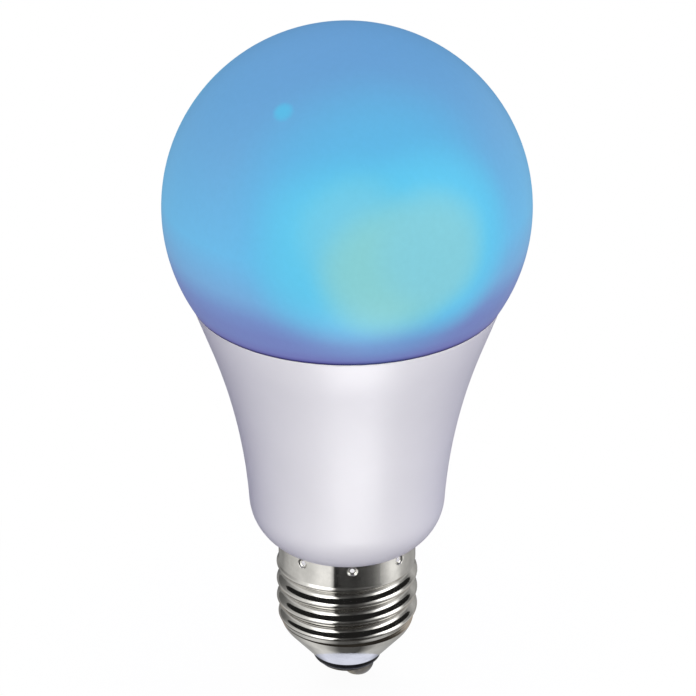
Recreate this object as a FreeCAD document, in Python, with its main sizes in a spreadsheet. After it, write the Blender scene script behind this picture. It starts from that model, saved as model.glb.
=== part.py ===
import FreeCAD, Part
import Sketcher
import functools
import math
import os
import re

# Globe lamp with a light-emitting-diode board under an opal diffuser, on a 27 mm screw cap.
# Millimetres, +Z up, the cap down. The origin is the foot of the centre contact, on the lamp's axis.

SIZES = {
    # diffuser globe
    "globe_radius": 33.5,
    "globe_wall": 1.2,
    "seam_angle": 32.1,
    "spigot_wall": 1.1,
    "spigot_depth": 2.3,
    "bead_width": 1.27,
    # housing
    "housing_rise": 41.26,
    "taper_angle": 20.5,
    "taper_length": 8.85,
    "hollow_radius": 115.0,
    "waist_radius": 18.18,
    "waist_lean": 3.7,
    "corner_radius": 10.16,
    "housing_wall": 1.6,
    "neck_wall": 1.5,
    "neck_gap": 0.1,
    "neck_relief": 0.4,
    "rim_chamfer": 0.25,
    # rolled screw shell
    "crest_radius": 13.2,
    "thread_depth": 1.1,
    "collar_step": 0.4,
    "collar_length": 4.319,
    "thread_length": 11.5,
    "thread_pitch": 3.629,
    "crest_drop": 1.25,
    "top_fade": 1.3,
    "foot_fade": 2.2,
    "fade_drop": 1.5,
    "sheet": 0.3,
    "bend_radius": 5.0,
    "cone_angle": 41.0,
    "lip_radius": 6.5,
    "crimp_count": 8,
    "crimp_drop": 1.0,
    "crimp_ball": 0.9,
    "crimp_depth": 0.35,
    "crimp_turn": -85.5,
    # foot of the cap
    "seat_gap": 0.05,
    "insulator_drop": 1.456,
    "insulator_inside": 2.4,
    "insulator_margin": 0.2,
    "contact_margin": 1.1,
    "contact_thickness": 0.6,
    "contact_round": 0.3,
    "rivet_radius": 1.5,
    "rivet_bore": 0.8,
    "rivet_stand": 0.75,
    "solder_radius": 3.1,
    "solder_drop": 2.5,
    "solder_edge": 1.0,
    "solder_margin": 0.1,
    # aluminium heat sink and the board that it carries
    "sink_gap": 0.1,
    "sink_wall": 1.0,
    "sink_drop": 0.4,
    "ledge_drop": 1.8,
    "ledge_thickness": 1.5,
    "ledge_width": 6.8,
    "board_gap": 0.4,
    "board_thickness": 1.2,
    "slot_margin": 0.35,
    "screw_count": 3,
    "screw_shank": 1.2,
    "screw_head": 2.2,
    "screw_head_height": 1.5,
    "screw_gap": 0.1,
    "screw_slot": 0.5,
    # light-emitting packages, in one ring: a colour one after each run of white ones
    "white_run": 2,
    "colour_count": 6,
    "ring_gap": 0.55,
    "white_length": 3.5,
    "white_width": 2.8,
    "white_height": 0.8,
    "colour_width": 3.5,
    "colour_height": 1.4,
    # driver board
    "driver_thickness": 1.2,
    "driver_lift": 2.4,
    "groove_depth": 0.65,
    "groove_gap": 0.1,
    "shoulder_rise": 2.36,
    "driver_margin": 1.5,
    "driver_cover": 0.5,
    # header that joins the two boards
    "header_width": 2.3,
    "header_drop": 6.4,
    "header_height": 2.5,
    "pin_count": 5,
    "pin_pitch": 2.54,
    "pin_width": 0.64,
    "pin_rise": 2.8,
    "socket_margin": 0.6,
    "socket_height": 3.2,
    # transformer
    "core_width": 13.0,
    "core_depth": 6.0,
    "core_height": 12.0,
    "core_leg": 1.6,
    "core_yoke": 2.0,
    "core_centre_leg": 3.0,
    "winding_depth": 10.0,
    "winding_gap": 0.08,
    "winding_round": 1.5,
    # capacitors, choke, chips and resistor
    "piece_gap": 1.2,
    "bulk_gap": 0.8,
    "bulk_length": 13.0,
    "bulk_lift": 2.5,
    "filter_radius": 3.6,
    "filter_length": 9.0,
    "can_round": 0.6,
    "can_groove": 0.4,
    "can_groove_height": 1.8,
    "choke_radius": 3.8,
    "choke_waist": 3.0,
    "choke_flange": 1.0,
    "choke_gap": 2.6,
    "film_length": 9.5,
    "film_depth": 4.6,
    "film_height": 8.6,
    "film_margin": 0.25,
    "chip_length": 4.9,
    "chip_width": 3.9,
    "chip_height": 1.5,
    "leg_length": 1.0,
    "leg_width": 0.4,
    "leg_height": 0.5,
    "leg_pitch": 1.27,
    "bridge_length": 4.7,
    "bridge_width": 3.9,
    "bridge_height": 2.4,
    "bridge_lift": 7.2,
    "fuse_radius": 1.6,
    "fuse_length": 8.6,
    "fuse_lift": 3.4,
    "fuse_band": 0.2,
    # radio module
    "radio_width": 15.0,
    "radio_height": 19.0,
    "radio_thickness": 0.8,
    "radio_drop": 1.8,
    "lid_width": 11.6,
    "lid_height": 2.1,
    "lid_margin": 1.4,
    "lid_round": 0.5,
    # lead wires inside the cap
    "lead_radius": 0.6,
    "lead_overlap": 5.0,
    "live_stand": 0.3,
    "live_bend": 1.5,
    "neutral_margin": 3.8,
    "neutral_bend": 1.8,
    "neutral_drop": 2.0,
    "lead_gap": 0.45,
}

WORKED_OUT = {
    # foot of the cap, from the solder up
    "contact_foot": "solder_drop",
    "contact_top": "contact_foot + contact_thickness",
    "lip_height": "contact_top + insulator_drop",
    "insulator_rim": "lip_radius - insulator_margin",
    "insulator_top": "lip_height + insulator_inside",
    "contact_radius": "insulator_rim - contact_margin",
    "solder_shift": "contact_radius - solder_radius - solder_margin",
    # screw shell
    "root_radius": "crest_radius - thread_depth",
    "thread_mean": "crest_radius - thread_depth / 2",
    "collar_radius": "crest_radius - collar_step",
    "cone_top": "thread_mean - bend_radius * (1 - cos(cone_angle))",
    "bend_foot": "lip_height + (cone_top - lip_radius) / tan(cone_angle)",
    "bend_height": "bend_foot + bend_radius * sin(cone_angle)",
    "thread_top": "bend_height + thread_length",
    "thread_foot": "bend_height - fade_drop",
    "crest_height": "thread_top - crest_drop",
    "crimp_height": "shoulder_z - crimp_drop",
    "crimp_reach": "collar_radius + crimp_ball - crimp_depth",
    # housing
    "shoulder_z": "thread_top + collar_length",
    "corner_r": "waist_radius - corner_radius * cos(waist_lean)",
    "corner_z": "shoulder_z + sqrt(corner_radius ^ 2 - (collar_radius - corner_r) ^ 2)",
    "waist_height": "corner_z - corner_radius * sin(waist_lean)",
    "seam_height": "waist_height + housing_rise",
    "seam_radius": "globe_radius * cos(seam_angle)",
    "taper_r": "seam_radius - taper_length * sin(taper_angle)",
    "taper_z": "seam_height - taper_length * cos(taper_angle)",
    "mouth_radius": "seam_radius - housing_wall / cos(taper_angle)",
    "inner_corner": "corner_radius - housing_wall",
    "neck_radius": "collar_radius - sheet - neck_gap",
    "thread_neck_radius": "root_radius - sheet - neck_gap",
    "neck_bore": "thread_neck_radius - neck_wall",
    "neck_step": "thread_top + neck_relief",
    "neck_foot": "bend_height + neck_gap",
    "bore_top": "corner_z - sqrt(inner_corner ^ 2 - (neck_bore - corner_r) ^ 2)",
    # globe
    "globe_centre": "seam_height + globe_radius * sin(seam_angle)",
    "globe_bore": "globe_radius - globe_wall",
    "flange_top": "seam_height + globe_wall",
    "flange_radius": "sqrt(globe_bore ^ 2 - (globe_centre - flange_top) ^ 2)",
    "spigot_radius": "mouth_radius - bead_width",
    "spigot_foot": "seam_height - spigot_depth",
    # heat sink and its board
    "sink_top": "spigot_foot - sink_drop",
    "ledge_height": "sink_top - ledge_drop",
    "ledge_foot": "ledge_height - ledge_thickness",
    "sink_bore": "mouth_radius - (seam_height - ledge_height) * tan(taper_angle) - sink_depth",
    "sink_depth": "(sink_gap + sink_wall) / cos(taper_angle)",
    "ledge_bore": "sink_bore - ledge_width",
    "board_radius": "sink_bore - board_gap",
    "board_top": "ledge_height + board_thickness",
    "screw_circle": "ledge_bore + ledge_width / 2",
    "ring_radius": "screw_circle - screw_head - ring_gap - white_length / 2",
    # driver board and header
    "driver_face": "driver_thickness / 2",
    "driver_foot": "neck_foot + driver_lift",
    "tongue_half": "neck_bore + groove_depth - groove_gap",
    "shoulder_height": "waist_height + shoulder_rise",
    "driver_half": "waist_radius - housing_wall - sink_gap - sink_wall - driver_margin",
    "header_foot": "ledge_height - header_drop",
    "driver_top": "header_foot + header_height + driver_cover",
    "header_length": "pin_count * pin_pitch",
    "header_middle": "driver_face + header_width / 2",
    "pin_top": "board_top + pin_rise",
    "slot_length": "header_length + 2 * slot_margin",
    "slot_width": "header_width + slot_margin",
    "socket_length": "slot_length + socket_margin",
    "socket_width": "slot_width + 2 * socket_margin",
    # what stands on the driver board
    "filter_foot": "header_foot - piece_gap - filter_length",
    "transformer_foot": "filter_foot - piece_gap - core_height",
    "fuse_foot": "driver_foot + fuse_lift",
    "fuse_shift": "-bridge_length / 2 - piece_gap - fuse_radius",
    "bridge_foot": "driver_foot + bridge_lift",
    "choke_height": "bridge_foot + bridge_width + leg_length + piece_gap / 2 + choke_radius",
    "choke_depth": "neck_bore - driver_face - choke_gap",
    "bulk_radius": "(neck_bore - driver_face - bulk_gap) / 2",
    "bulk_foot": "driver_foot + bulk_lift",
    "film_foot": "bulk_foot + bulk_length + 2 * piece_gap",
    "film_left": "-tongue_half + film_margin",
    "chip_left": "film_left + film_length + 3 * piece_gap",
    "chip_foot": "film_foot + leg_length + piece_gap",
    "radio_foot": "driver_top - radio_drop - radio_height",
    # lead wires
    "lead_top": "driver_foot + lead_overlap",
    "neutral_shift": "neck_bore - neutral_margin",
    "neutral_height": "neck_foot - neutral_drop",
}

ORIGIN = -1
START = 1
END = 2
CENTRE = 3

THREAD_POLES_AROUND = 16
THREAD_POLES_A_PITCH = 6
JOIN_TOLERANCE = 0.002

doc = FreeCAD.newDocument("globe_lamp")
sheet = doc.addObject("Spreadsheet::Sheet", "Sizes")
for row, (name, number) in enumerate(SIZES.items(), start=1):
    sheet.set(f"A{row}", name)
    sheet.set(f"B{row}", str(number))
    sheet.setAlias(f"B{row}", name)
doc.recompute()


def on_sheet(text):
    """The size text with each worked-out name written out and each driving size read from the sheet."""
    def replaced(match):
        name = match.group()
        if name in SIZES:
            return "Sizes." + name
        if name in WORKED_OUT:
            return "(" + on_sheet(WORKED_OUT[name]) + ")"
        return name
    return re.sub(r"[a-z_]+", replaced, str(text))


@functools.lru_cache(maxsize=None)
def size(text):
    """The number that a size text comes to."""
    result = doc.getObject("Sizes").evalExpression(on_sheet(text))
    return float(getattr(result, "Value", result))


def bind(thing, **properties):
    """Ties properties to size texts; a double underscore in a name stands for a dot."""
    for name, text in properties.items():
        thing.setExpression(name.replace("__", "."), on_sheet(text))


def move(thing, x="0", y="0", z="0"):
    """Ties the place of a piece to size texts."""
    for axis, text in (("x", x), ("y", y), ("z", z)):
        thing.setExpression(f"Placement.Base.{axis}", on_sheet(text))


def turned(radius, angle):
    """The x and y size texts of a point at a radius and an angle in degrees."""
    return f"{radius} * cos({angle})", f"{radius} * sin({angle})"


def new_body(label):
    body = doc.addObject("PartDesign::Body", label)
    body.Label = label
    return body


def new_sketch(body, role, height="0"):
    """A sketch on one of its body's own origin planes, lifted along the plane's normal."""
    plane = next(f for f in body.Origin.OriginFeatures if f.Role == role)
    sketch = body.newObject("Sketcher::SketchObject", body.Name + "_sketch")
    sketch.AttachmentSupport = [(plane, "")]
    sketch.MapMode = "FlatFace"
    sketch.setExpression("AttachmentOffset.Base.z", on_sheet(height))
    return sketch


def arc_through(first, last, radius, side):
    """The arc from first to last of a radius, its centre on the left (side 1) or the right (side -1)."""
    chord = last - first
    middle = (first + last) * 0.5
    left = FreeCAD.Vector(-chord.y, chord.x, 0)
    left.normalize()
    rise = math.sqrt(max(radius ** 2 - (chord.Length / 2) ** 2, 0))
    centre = middle + left * rise * side
    angles = [math.atan2((p - centre).y, (p - centre).x) for p in (first, last)]
    circle = Part.Circle(centre, FreeCAD.Vector(0, 0, 1), radius)
    if side > 0:
        return Part.ArcOfCircle(circle, angles[0], angles[1])
    return Part.ArcOfCircle(circle, angles[1], angles[0])


def outline(sketch, corners, arcs=None):
    """A closed outline through corners given as size texts; arcs gives an edge's radius and side."""
    arcs = arcs or {}
    points = [FreeCAD.Vector(size(x), size(y), 0) for x, y in corners]
    ends = []
    for index, first in enumerate(points):
        last = points[(index + 1) % len(points)]
        if index in arcs:
            radius, side = arcs[index]
            edge = sketch.addGeometry(arc_through(first, last, size(radius), side), False)
            ends.append((edge, START, END) if side > 0 else (edge, END, START))
            sketch.addConstraint(Sketcher.Constraint("Radius", edge, size(radius)))
            sketch.setExpression(f"Constraints[{sketch.ConstraintCount - 1}]", on_sheet(radius))
        else:
            edge = sketch.addGeometry(Part.LineSegment(first, last), False)
            ends.append((edge, START, END))
    for index, (edge, start, _) in enumerate(ends):
        before, _, before_end = ends[index - 1]
        sketch.addConstraint(Sketcher.Constraint("Coincident", before, before_end, edge, start))
        point = points[index]
        for kind, number, text in zip(("DistanceX", "DistanceY"), (point.x, point.y), corners[index]):
            constraint = Sketcher.Constraint(kind, ORIGIN, START, edge, start, number)
            sketch.addConstraint(constraint)
            sketch.setExpression(f"Constraints[{sketch.ConstraintCount - 1}]", on_sheet(text))


def circle_sketch(body, radius, x="0", y="0", height="0", role="XY_Plane"):
    sketch = new_sketch(body, role, height)
    centre = FreeCAD.Vector(size(x), size(y), 0)
    ring = sketch.addGeometry(Part.Circle(centre, FreeCAD.Vector(0, 0, 1), size(radius)), False)
    for constraint, text in (
        (Sketcher.Constraint("Radius", ring, size(radius)), radius),
        (Sketcher.Constraint("DistanceX", ORIGIN, START, ring, CENTRE, centre.x), x),
        (Sketcher.Constraint("DistanceY", ORIGIN, START, ring, CENTRE, centre.y), y),
    ):
        sketch.addConstraint(constraint)
        sketch.setExpression(f"Constraints[{sketch.ConstraintCount - 1}]", on_sheet(text))
    return sketch


def rectangle(x, y, length, width):
    """The corners of a rectangle about a middle point, as size texts."""
    return [
        (f"{x} - ({length}) / 2", f"{y} - ({width}) / 2"),
        (f"{x} + ({length}) / 2", f"{y} - ({width}) / 2"),
        (f"{x} + ({length}) / 2", f"{y} + ({width}) / 2"),
        (f"{x} - ({length}) / 2", f"{y} + ({width}) / 2"),
    ]


def revolved(label, corners, arcs=None):
    """A turned body: the outline of radius and height turned about the body's own Z axis."""
    body = new_body(label)
    sketch = new_sketch(body, "XZ_Plane")
    outline(sketch, corners, arcs)
    turn = body.newObject("PartDesign::Revolution", label + "_turn")
    turn.Profile = sketch
    turn.ReferenceAxis = (sketch, ["V_Axis"])
    turn.Angle = 360
    return body


def pad(body, sketch, length):
    block = body.newObject("PartDesign::Pad", body.Name + "_pad")
    block.Profile = sketch
    bind(block, Length=length)
    return block


def pocket(body, sketch, length):
    hollow = body.newObject("PartDesign::Pocket", body.Name + "_pocket")
    hollow.Profile = sketch
    bind(hollow, Length=length)
    return hollow


def polar(body, feature, count):
    pattern = body.newObject("PartDesign::PolarPattern", body.Name + "_ring")
    pattern.Originals = [feature]
    axis = next(f for f in body.Origin.OriginFeatures if f.Role == "Z_Axis")
    pattern.Axis = (axis, [""])
    pattern.Angle = 360
    bind(pattern, Occurrences=count)
    body.Tip = pattern
    return pattern


def box(label, corner, length, width, height):
    """A block by its lowest corner and its three sizes, all size texts."""
    block = doc.addObject("Part::Box", label)
    block.Label = label
    bind(block, Length=length, Width=width, Height=height)
    move(block, *corner)
    return block


def cut(label, base, tool):
    result = doc.addObject("Part::Cut", label)
    result.Label = label
    result.Base = base
    result.Tool = tool
    return result


def fuse(label, pieces):
    result = doc.addObject("Part::MultiFuse", label)
    result.Label = label
    result.Shapes = pieces
    return result


def group(label, pieces):
    """Several separate solids that share one name."""
    result = doc.addObject("Part::Compound", label)
    result.Label = label
    result.Links = pieces
    return result


# diffuser globe
def make_globe():
    corners = [
        ("0", "globe_centre + globe_radius"),
        ("seam_radius", "seam_height"),
        ("spigot_radius", "seam_height"),
        ("spigot_radius", "spigot_foot"),
        ("spigot_radius - spigot_wall", "spigot_foot"),
        ("spigot_radius - spigot_wall", "flange_top"),
        ("flange_radius", "flange_top"),
        ("0", "globe_centre + globe_bore"),
    ]
    return revolved("diffuser_globe", corners, {0: ("globe_radius", -1), 6: ("globe_bore", 1)})


# housing
def inset_point(r, z, lean, depth):
    """A point of the outer wall moved inwards, square to a wall that leans in by an angle."""
    return f"{r} - ({depth}) * cos({lean})", f"{z} + ({depth}) * sin({lean})"


def make_housing():
    inner_waist = inset_point("waist_radius", "waist_height", "waist_lean", "housing_wall")
    inner_taper = inset_point("taper_r", "taper_z", "taper_angle", "housing_wall")
    corners = [
        ("mouth_radius", "seam_height"),
        ("seam_radius - rim_chamfer", "seam_height"),
        ("seam_radius - rim_chamfer * tan(taper_angle)", "seam_height - rim_chamfer"),
        ("taper_r", "taper_z"),
        ("waist_radius", "waist_height"),
        ("collar_radius", "shoulder_z"),
        ("neck_radius", "shoulder_z"),
        ("neck_radius", "neck_step"),
        ("thread_neck_radius", "neck_step - (neck_radius - thread_neck_radius)"),
        ("thread_neck_radius", "neck_foot"),
        ("neck_bore", "neck_foot"),
        ("neck_bore", "bore_top"),
        inner_waist,
        inner_taper,
    ]
    arcs = {
        3: ("hollow_radius", 1),
        4: ("corner_radius", -1),
        11: ("inner_corner", 1),
        12: ("hollow_radius + housing_wall", -1),
    }
    moulding = revolved("housing_moulding", corners, arcs)
    groove_reach = "(neck_bore + groove_depth)"
    slot = "(driver_thickness + 2 * groove_gap)"
    groove = box(
        "neck_groove",
        (f"-{groove_reach}", f"-{slot} / 2", "driver_foot - groove_gap"),
        f"2 * {groove_reach}", slot, "bore_top - driver_foot + groove_depth + groove_gap",
    )
    below_shoulder = doc.addObject("Part::Cylinder", "below_shoulder")
    bind(below_shoulder, Radius="collar_radius", Height="shoulder_z")
    dents = doc.addObject("Part::Common", "neck_dents")
    dents.Base = group("neck_balls", crimp_balls("neck_ball", "crimp_ball + sheet + neck_gap"))
    dents.Tool = below_shoulder
    return cut("housing", moulding, group("neck_cuts", [groove, dents]))


# crimps that hold the screw shell on the housing's neck
def crimp_balls(label, radius):
    balls = []
    for index in range(int(size("crimp_count"))):
        ball = doc.addObject("Part::Sphere", f"{label}_{index}")
        bind(ball, Radius=radius)
        angle = f"(crimp_turn + {index} * 360 / crimp_count)"
        move(ball, *turned("crimp_reach", angle), "crimp_height")
        balls.append(ball)
    return balls


# silicone bead between the globe's spigot and the housing's mouth
def make_bead():
    foot = "(sink_top + seat_gap)"
    corners = [
        ("spigot_radius", "seam_height"),
        ("spigot_radius", foot),
        (f"mouth_radius - (seam_height - {foot}) * tan(taper_angle)", foot),
        ("mouth_radius", "seam_height"),
    ]
    return revolved("seal_bead", corners)


# aluminium cup pressed into the housing, with the ledge that carries the board
def taper_wall(height, depth):
    """The radius, at a height on the straight taper, of a surface some depth inside the outer wall."""
    return f"seam_radius - (seam_height - {height}) * tan(taper_angle) - ({depth}) / cos(taper_angle)"


def make_heat_sink():
    near = "housing_wall + sink_gap"
    far = "housing_wall + sink_gap + sink_wall"
    corners = [
        (taper_wall("sink_top", near), "sink_top"),
        inset_point("taper_r", "taper_z", "taper_angle", near),
        inset_point("waist_radius", "waist_height", "waist_lean", near),
        inset_point("waist_radius", "waist_height", "waist_lean", far),
        inset_point("taper_r", "taper_z", "taper_angle", far),
        (taper_wall("ledge_foot", far), "ledge_foot"),
        ("ledge_bore", "ledge_foot"),
        ("ledge_bore", "ledge_height"),
        ("sink_bore", "ledge_height"),
        (taper_wall("sink_top", far), "sink_top"),
    ]
    arcs = {1: (f"hollow_radius + {near}", 1), 3: (f"hollow_radius + {far}", -1)}
    body = revolved("heat_sink", corners, arcs)
    hole = pocket(
        body,
        circle_sketch(body, "screw_shank + screw_gap / 2", "screw_circle", "0", "ledge_height"),
        "ledge_thickness + screw_gap",
    )
    polar(body, hole, "screw_count")
    return body


# aluminium-cored board that carries the light-emitting packages
def make_led_board():
    body = new_body("led_board")
    pad(body, circle_sketch(body, "board_radius", "0", "0", "ledge_height"), "board_thickness")
    slot = new_sketch(body, "XY_Plane", "board_top")
    outline(slot, rectangle("0", "header_middle", "slot_length", "slot_width"))
    pocket(body, slot, "board_thickness + screw_gap")
    hole = pocket(
        body,
        circle_sketch(body, "screw_shank + screw_gap", "screw_circle", "0", "board_top"),
        "board_thickness + screw_gap",
    )
    polar(body, hole, "screw_count")
    return body


def make_board_screw(index):
    """A pan-headed screw with a straight driver slot, seated on the board and through the ledge."""
    angle = f"({index} * 360 / screw_count)"
    place = turned("screw_circle", angle)
    shank = doc.addObject("Part::Cylinder", f"screw_shank_{index}")
    bind(shank, Radius="screw_shank", Height="ledge_thickness + board_thickness")
    move(shank, *place, "ledge_foot")
    head = doc.addObject("Part::Cylinder", f"screw_head_{index}")
    bind(head, Radius="screw_head", Height="screw_head_height")
    move(head, *place, "board_top")
    slot = box(
        f"screw_slot_{index}",
        (f"{place[0]} - screw_head", f"{place[1]} - screw_slot / 2", "board_top + screw_head_height / 2"),
        "2 * screw_head", "screw_slot", "screw_head_height",
    )
    return cut(f"screw_{index}", fuse(f"screw_blank_{index}", [shank, head]), slot)


def package_ring(label, slots, width, height):
    """Packages standing on the board in some slots of the ring, each turned to face the axis."""
    packages = []
    for slot in slots:
        angle = f"({slot} * 360 / (colour_count * (white_run + 1)))"
        block = doc.addObject("Part::Box", f"{label}_{slot}")
        bind(block, Length="white_length", Width=width, Height=height)
        x, y = turned("ring_radius", angle)
        corner_x = f"{x} - white_length / 2 * cos({angle}) + {width} / 2 * sin({angle})"
        corner_y = f"{y} - white_length / 2 * sin({angle}) - {width} / 2 * cos({angle})"
        move(block, corner_x, corner_y, "board_top")
        block.setExpression("Placement.Rotation.Angle", on_sheet(angle))
        packages.append(block)
    return group(label, packages)


def make_emitters():
    period = int(size("white_run")) + 1
    slots = range(int(size("colour_count")) * period)
    colours = [slot for slot in slots if slot % period == 0]
    whites = [slot for slot in slots if slot % period]
    return [
        package_ring("white_emitters", whites, "white_width", "white_height"),
        package_ring("colour_emitters", colours, "colour_width", "colour_height"),
    ]


# driver board, stood on its tongue in the neck's two grooves
def make_driver_board():
    body = new_body("driver_board")
    sketch = new_sketch(body, "XZ_Plane", "-driver_thickness / 2")
    outline(sketch, [
        ("-tongue_half", "driver_foot"),
        ("tongue_half", "driver_foot"),
        ("tongue_half", "shoulder_height"),
        ("driver_half", "shoulder_height"),
        ("driver_half", "driver_top"),
        ("-driver_half", "driver_top"),
        ("-driver_half", "shoulder_height"),
        ("-tongue_half", "shoulder_height"),
    ])
    pad(body, sketch, "driver_thickness")
    return body


# header between the boards
def make_header():
    strip = box(
        "header_block",
        ("-header_length / 2", "driver_face", "header_foot"),
        "header_length", "header_width", "header_height",
    )
    return cut("header_strip", strip, group("header_holes", pin_boxes("header_hole", "header_foot")))


def pin_boxes(label, foot, top="pin_top"):
    """Square pins in a row along X, behind the driver board's face."""
    boxes = []
    for index in range(int(size("pin_count"))):
        middle = f"({index} - (pin_count - 1) / 2) * pin_pitch"
        boxes.append(box(
            f"{label}_{index}",
            (f"{middle} - pin_width / 2", "header_middle - pin_width / 2", foot),
            "pin_width", "pin_width", f"{top} - {foot}",
        ))
    return boxes


def make_socket():
    block = box(
        "socket_block",
        ("-socket_length / 2", "header_middle - socket_width / 2", "board_top"),
        "socket_length", "socket_width", "socket_height",
    )
    return cut("board_socket", block, group("socket_holes", pin_boxes("socket_hole", "board_top")))


# transformer
def make_transformer():
    middle_y = "(driver_face + winding_depth / 2)"
    window_width = "((core_width - core_centre_leg) / 2 - core_leg)"
    window_height = "(core_height - 2 * core_yoke)"
    window_foot = "(transformer_foot + core_yoke)"
    block = box(
        "core_block",
        ("-core_width / 2", f"{middle_y} - core_depth / 2", "transformer_foot"),
        "core_width", "core_depth", "core_height",
    )
    windows = []
    for index, left in enumerate((f"-core_centre_leg / 2 - {window_width}", "core_centre_leg / 2")):
        windows.append(box(
            f"core_window_{index}",
            (left, f"{middle_y} - core_depth / 2", window_foot),
            window_width, "core_depth", window_height,
        ))
    core = cut("transformer_core", block, group("core_windows", windows))
    body = new_body("transformer_winding")
    half = f"(core_centre_leg / 2 + {window_width} - winding_gap)"
    sketch = new_sketch(body, "XY_Plane", f"{window_foot} + winding_gap")
    outline(sketch, rectangle("0", middle_y, f"2 * {half}", "winding_depth"))
    block = pad(body, sketch, f"{window_height} - 2 * winding_gap")
    doc.recompute()
    upright = [
        f"Edge{number}" for number, edge in enumerate(block.Shape.Edges, start=1)
        if abs(edge.tangentAt(edge.FirstParameter).z) > 0.9
    ]
    rounded = body.newObject("PartDesign::Fillet", "winding_fillet")
    rounded.Base = (block, upright)
    bind(rounded, Radius="winding_round")
    leg = new_sketch(body, "XY_Plane", f"{window_foot} + {window_height}")
    leg_length = "core_centre_leg + 2 * winding_gap"
    outline(leg, rectangle("0", middle_y, leg_length, "core_depth + 2 * winding_gap"))
    pocket(body, leg, window_height)
    return core, body


# electrolytic capacitors: a can with a rolled groove near its open end
def make_can(label, radius, length, foot, y):
    groove = "can_groove_height"
    corners = [
        ("0", "0"),
        (f"{radius} - can_round", "0"),
        (radius, "can_round"),
        (radius, f"{groove} - can_groove"),
        (f"{radius} - can_groove", groove),
        (radius, f"{groove} + can_groove"),
        (radius, f"{length} - can_round"),
        (f"{radius} - can_round", length),
        ("0", length),
    ]
    arcs = {1: ("can_round", 1), 6: ("can_round", 1)}
    body = revolved(label, corners, arcs)
    move(body, "0", y, foot)
    return body


# drum choke, its axis square to the driver board
def make_choke():
    corners = [
        ("0", "0"),
        ("choke_radius", "0"),
        ("choke_radius", "choke_flange"),
        ("choke_waist", "choke_flange"),
        ("choke_waist", "choke_depth - choke_flange"),
        ("choke_radius", "choke_depth - choke_flange"),
        ("choke_radius", "choke_depth"),
        ("0", "choke_depth"),
    ]
    body = revolved("choke", corners)
    body.Placement.Rotation = FreeCAD.Rotation(FreeCAD.Vector(1, 0, 0), -90)
    move(body, "0", "driver_face", "choke_height")
    return body


# film capacitor: a dipped block with rounded corners
def make_film_capacitor():
    body = new_body("film_capacitor")
    sketch = new_sketch(body, "XY_Plane", "film_foot")
    middle = ("(film_left + film_length / 2)", "(-driver_face - film_depth / 2)")
    outline(sketch, rectangle(*middle, "film_length", "film_depth"))
    block = pad(body, sketch, "film_height")
    doc.recompute()
    outer = [
        f"Edge{number}" for number, edge in enumerate(block.Shape.Edges, start=1)
        if edge.CenterOfMass.y < -size("driver_face + film_depth / 2")
    ]
    rounded = body.newObject("PartDesign::Fillet", "film_fillet")
    rounded.Base = (block, outer)
    bind(rounded, Radius="can_round")
    return body


# chips: a moulded block with gull legs along two sides
def make_chip(label, left, foot, face, outward, length, width, height):
    """A chip flat on one face of the driver board; outward is 1 for +Y and -1 for -Y."""
    front = face if outward > 0 else f"-({face}) - ({height})"
    leg_front = face if outward > 0 else f"-({face}) - leg_height"
    pieces = [box(f"{label}_block", (left, front, foot), length, height, width)]
    count = int(size(f"{length} / leg_pitch"))
    for index in range(count):
        at = f"{left} + {length} / 2 + ({index} - ({count} - 1) / 2) * leg_pitch - leg_width / 2"
        legs = box(
            f"{label}_leg_{index}",
            (at, leg_front, f"{foot} - leg_length"),
            "leg_width", "leg_height", f"{width} + 2 * leg_length",
        )
        pieces.append(legs)
    return fuse(label, pieces)


# fuse resistor: a barrel with a raised cap at each end
def make_fuse_resistor():
    band = "fuse_length / 5"
    corners = [
        ("0", "0"),
        ("fuse_radius", "0"),
        ("fuse_radius", band),
        ("fuse_radius - fuse_band", f"{band} + fuse_band"),
        ("fuse_radius - fuse_band", f"fuse_length - {band} - fuse_band"),
        ("fuse_radius", f"fuse_length - {band}"),
        ("fuse_radius", "fuse_length"),
        ("0", "fuse_length"),
    ]
    body = revolved("fuse_resistor", corners)
    move(body, "fuse_shift", "driver_face + fuse_radius", "fuse_foot")
    return body


# radio module on the back of the driver board, with its metal lid
def make_radio():
    board = box(
        "radio_board",
        ("-radio_width / 2", "-driver_face - radio_thickness", "radio_foot"),
        "radio_width", "radio_thickness", "radio_height",
    )
    body = new_body("radio_lid")
    sketch = new_sketch(body, "XZ_Plane", "driver_face + radio_thickness")
    middle = "(radio_foot + lid_margin + lid_width / 2)"
    outline(sketch, rectangle("0", middle, "lid_width", "lid_width"))
    block = pad(body, sketch, "lid_height")
    doc.recompute()
    top = -size("driver_face + radio_thickness + lid_height / 2")
    outer = [
        f"Edge{number}" for number, edge in enumerate(block.Shape.Edges, start=1)
        if edge.CenterOfMass.y < top
    ]
    rounded = body.newObject("PartDesign::Fillet", "lid_fillet")
    rounded.Base = (block, outer)
    bind(rounded, Radius="lid_round")
    return board, body


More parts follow.
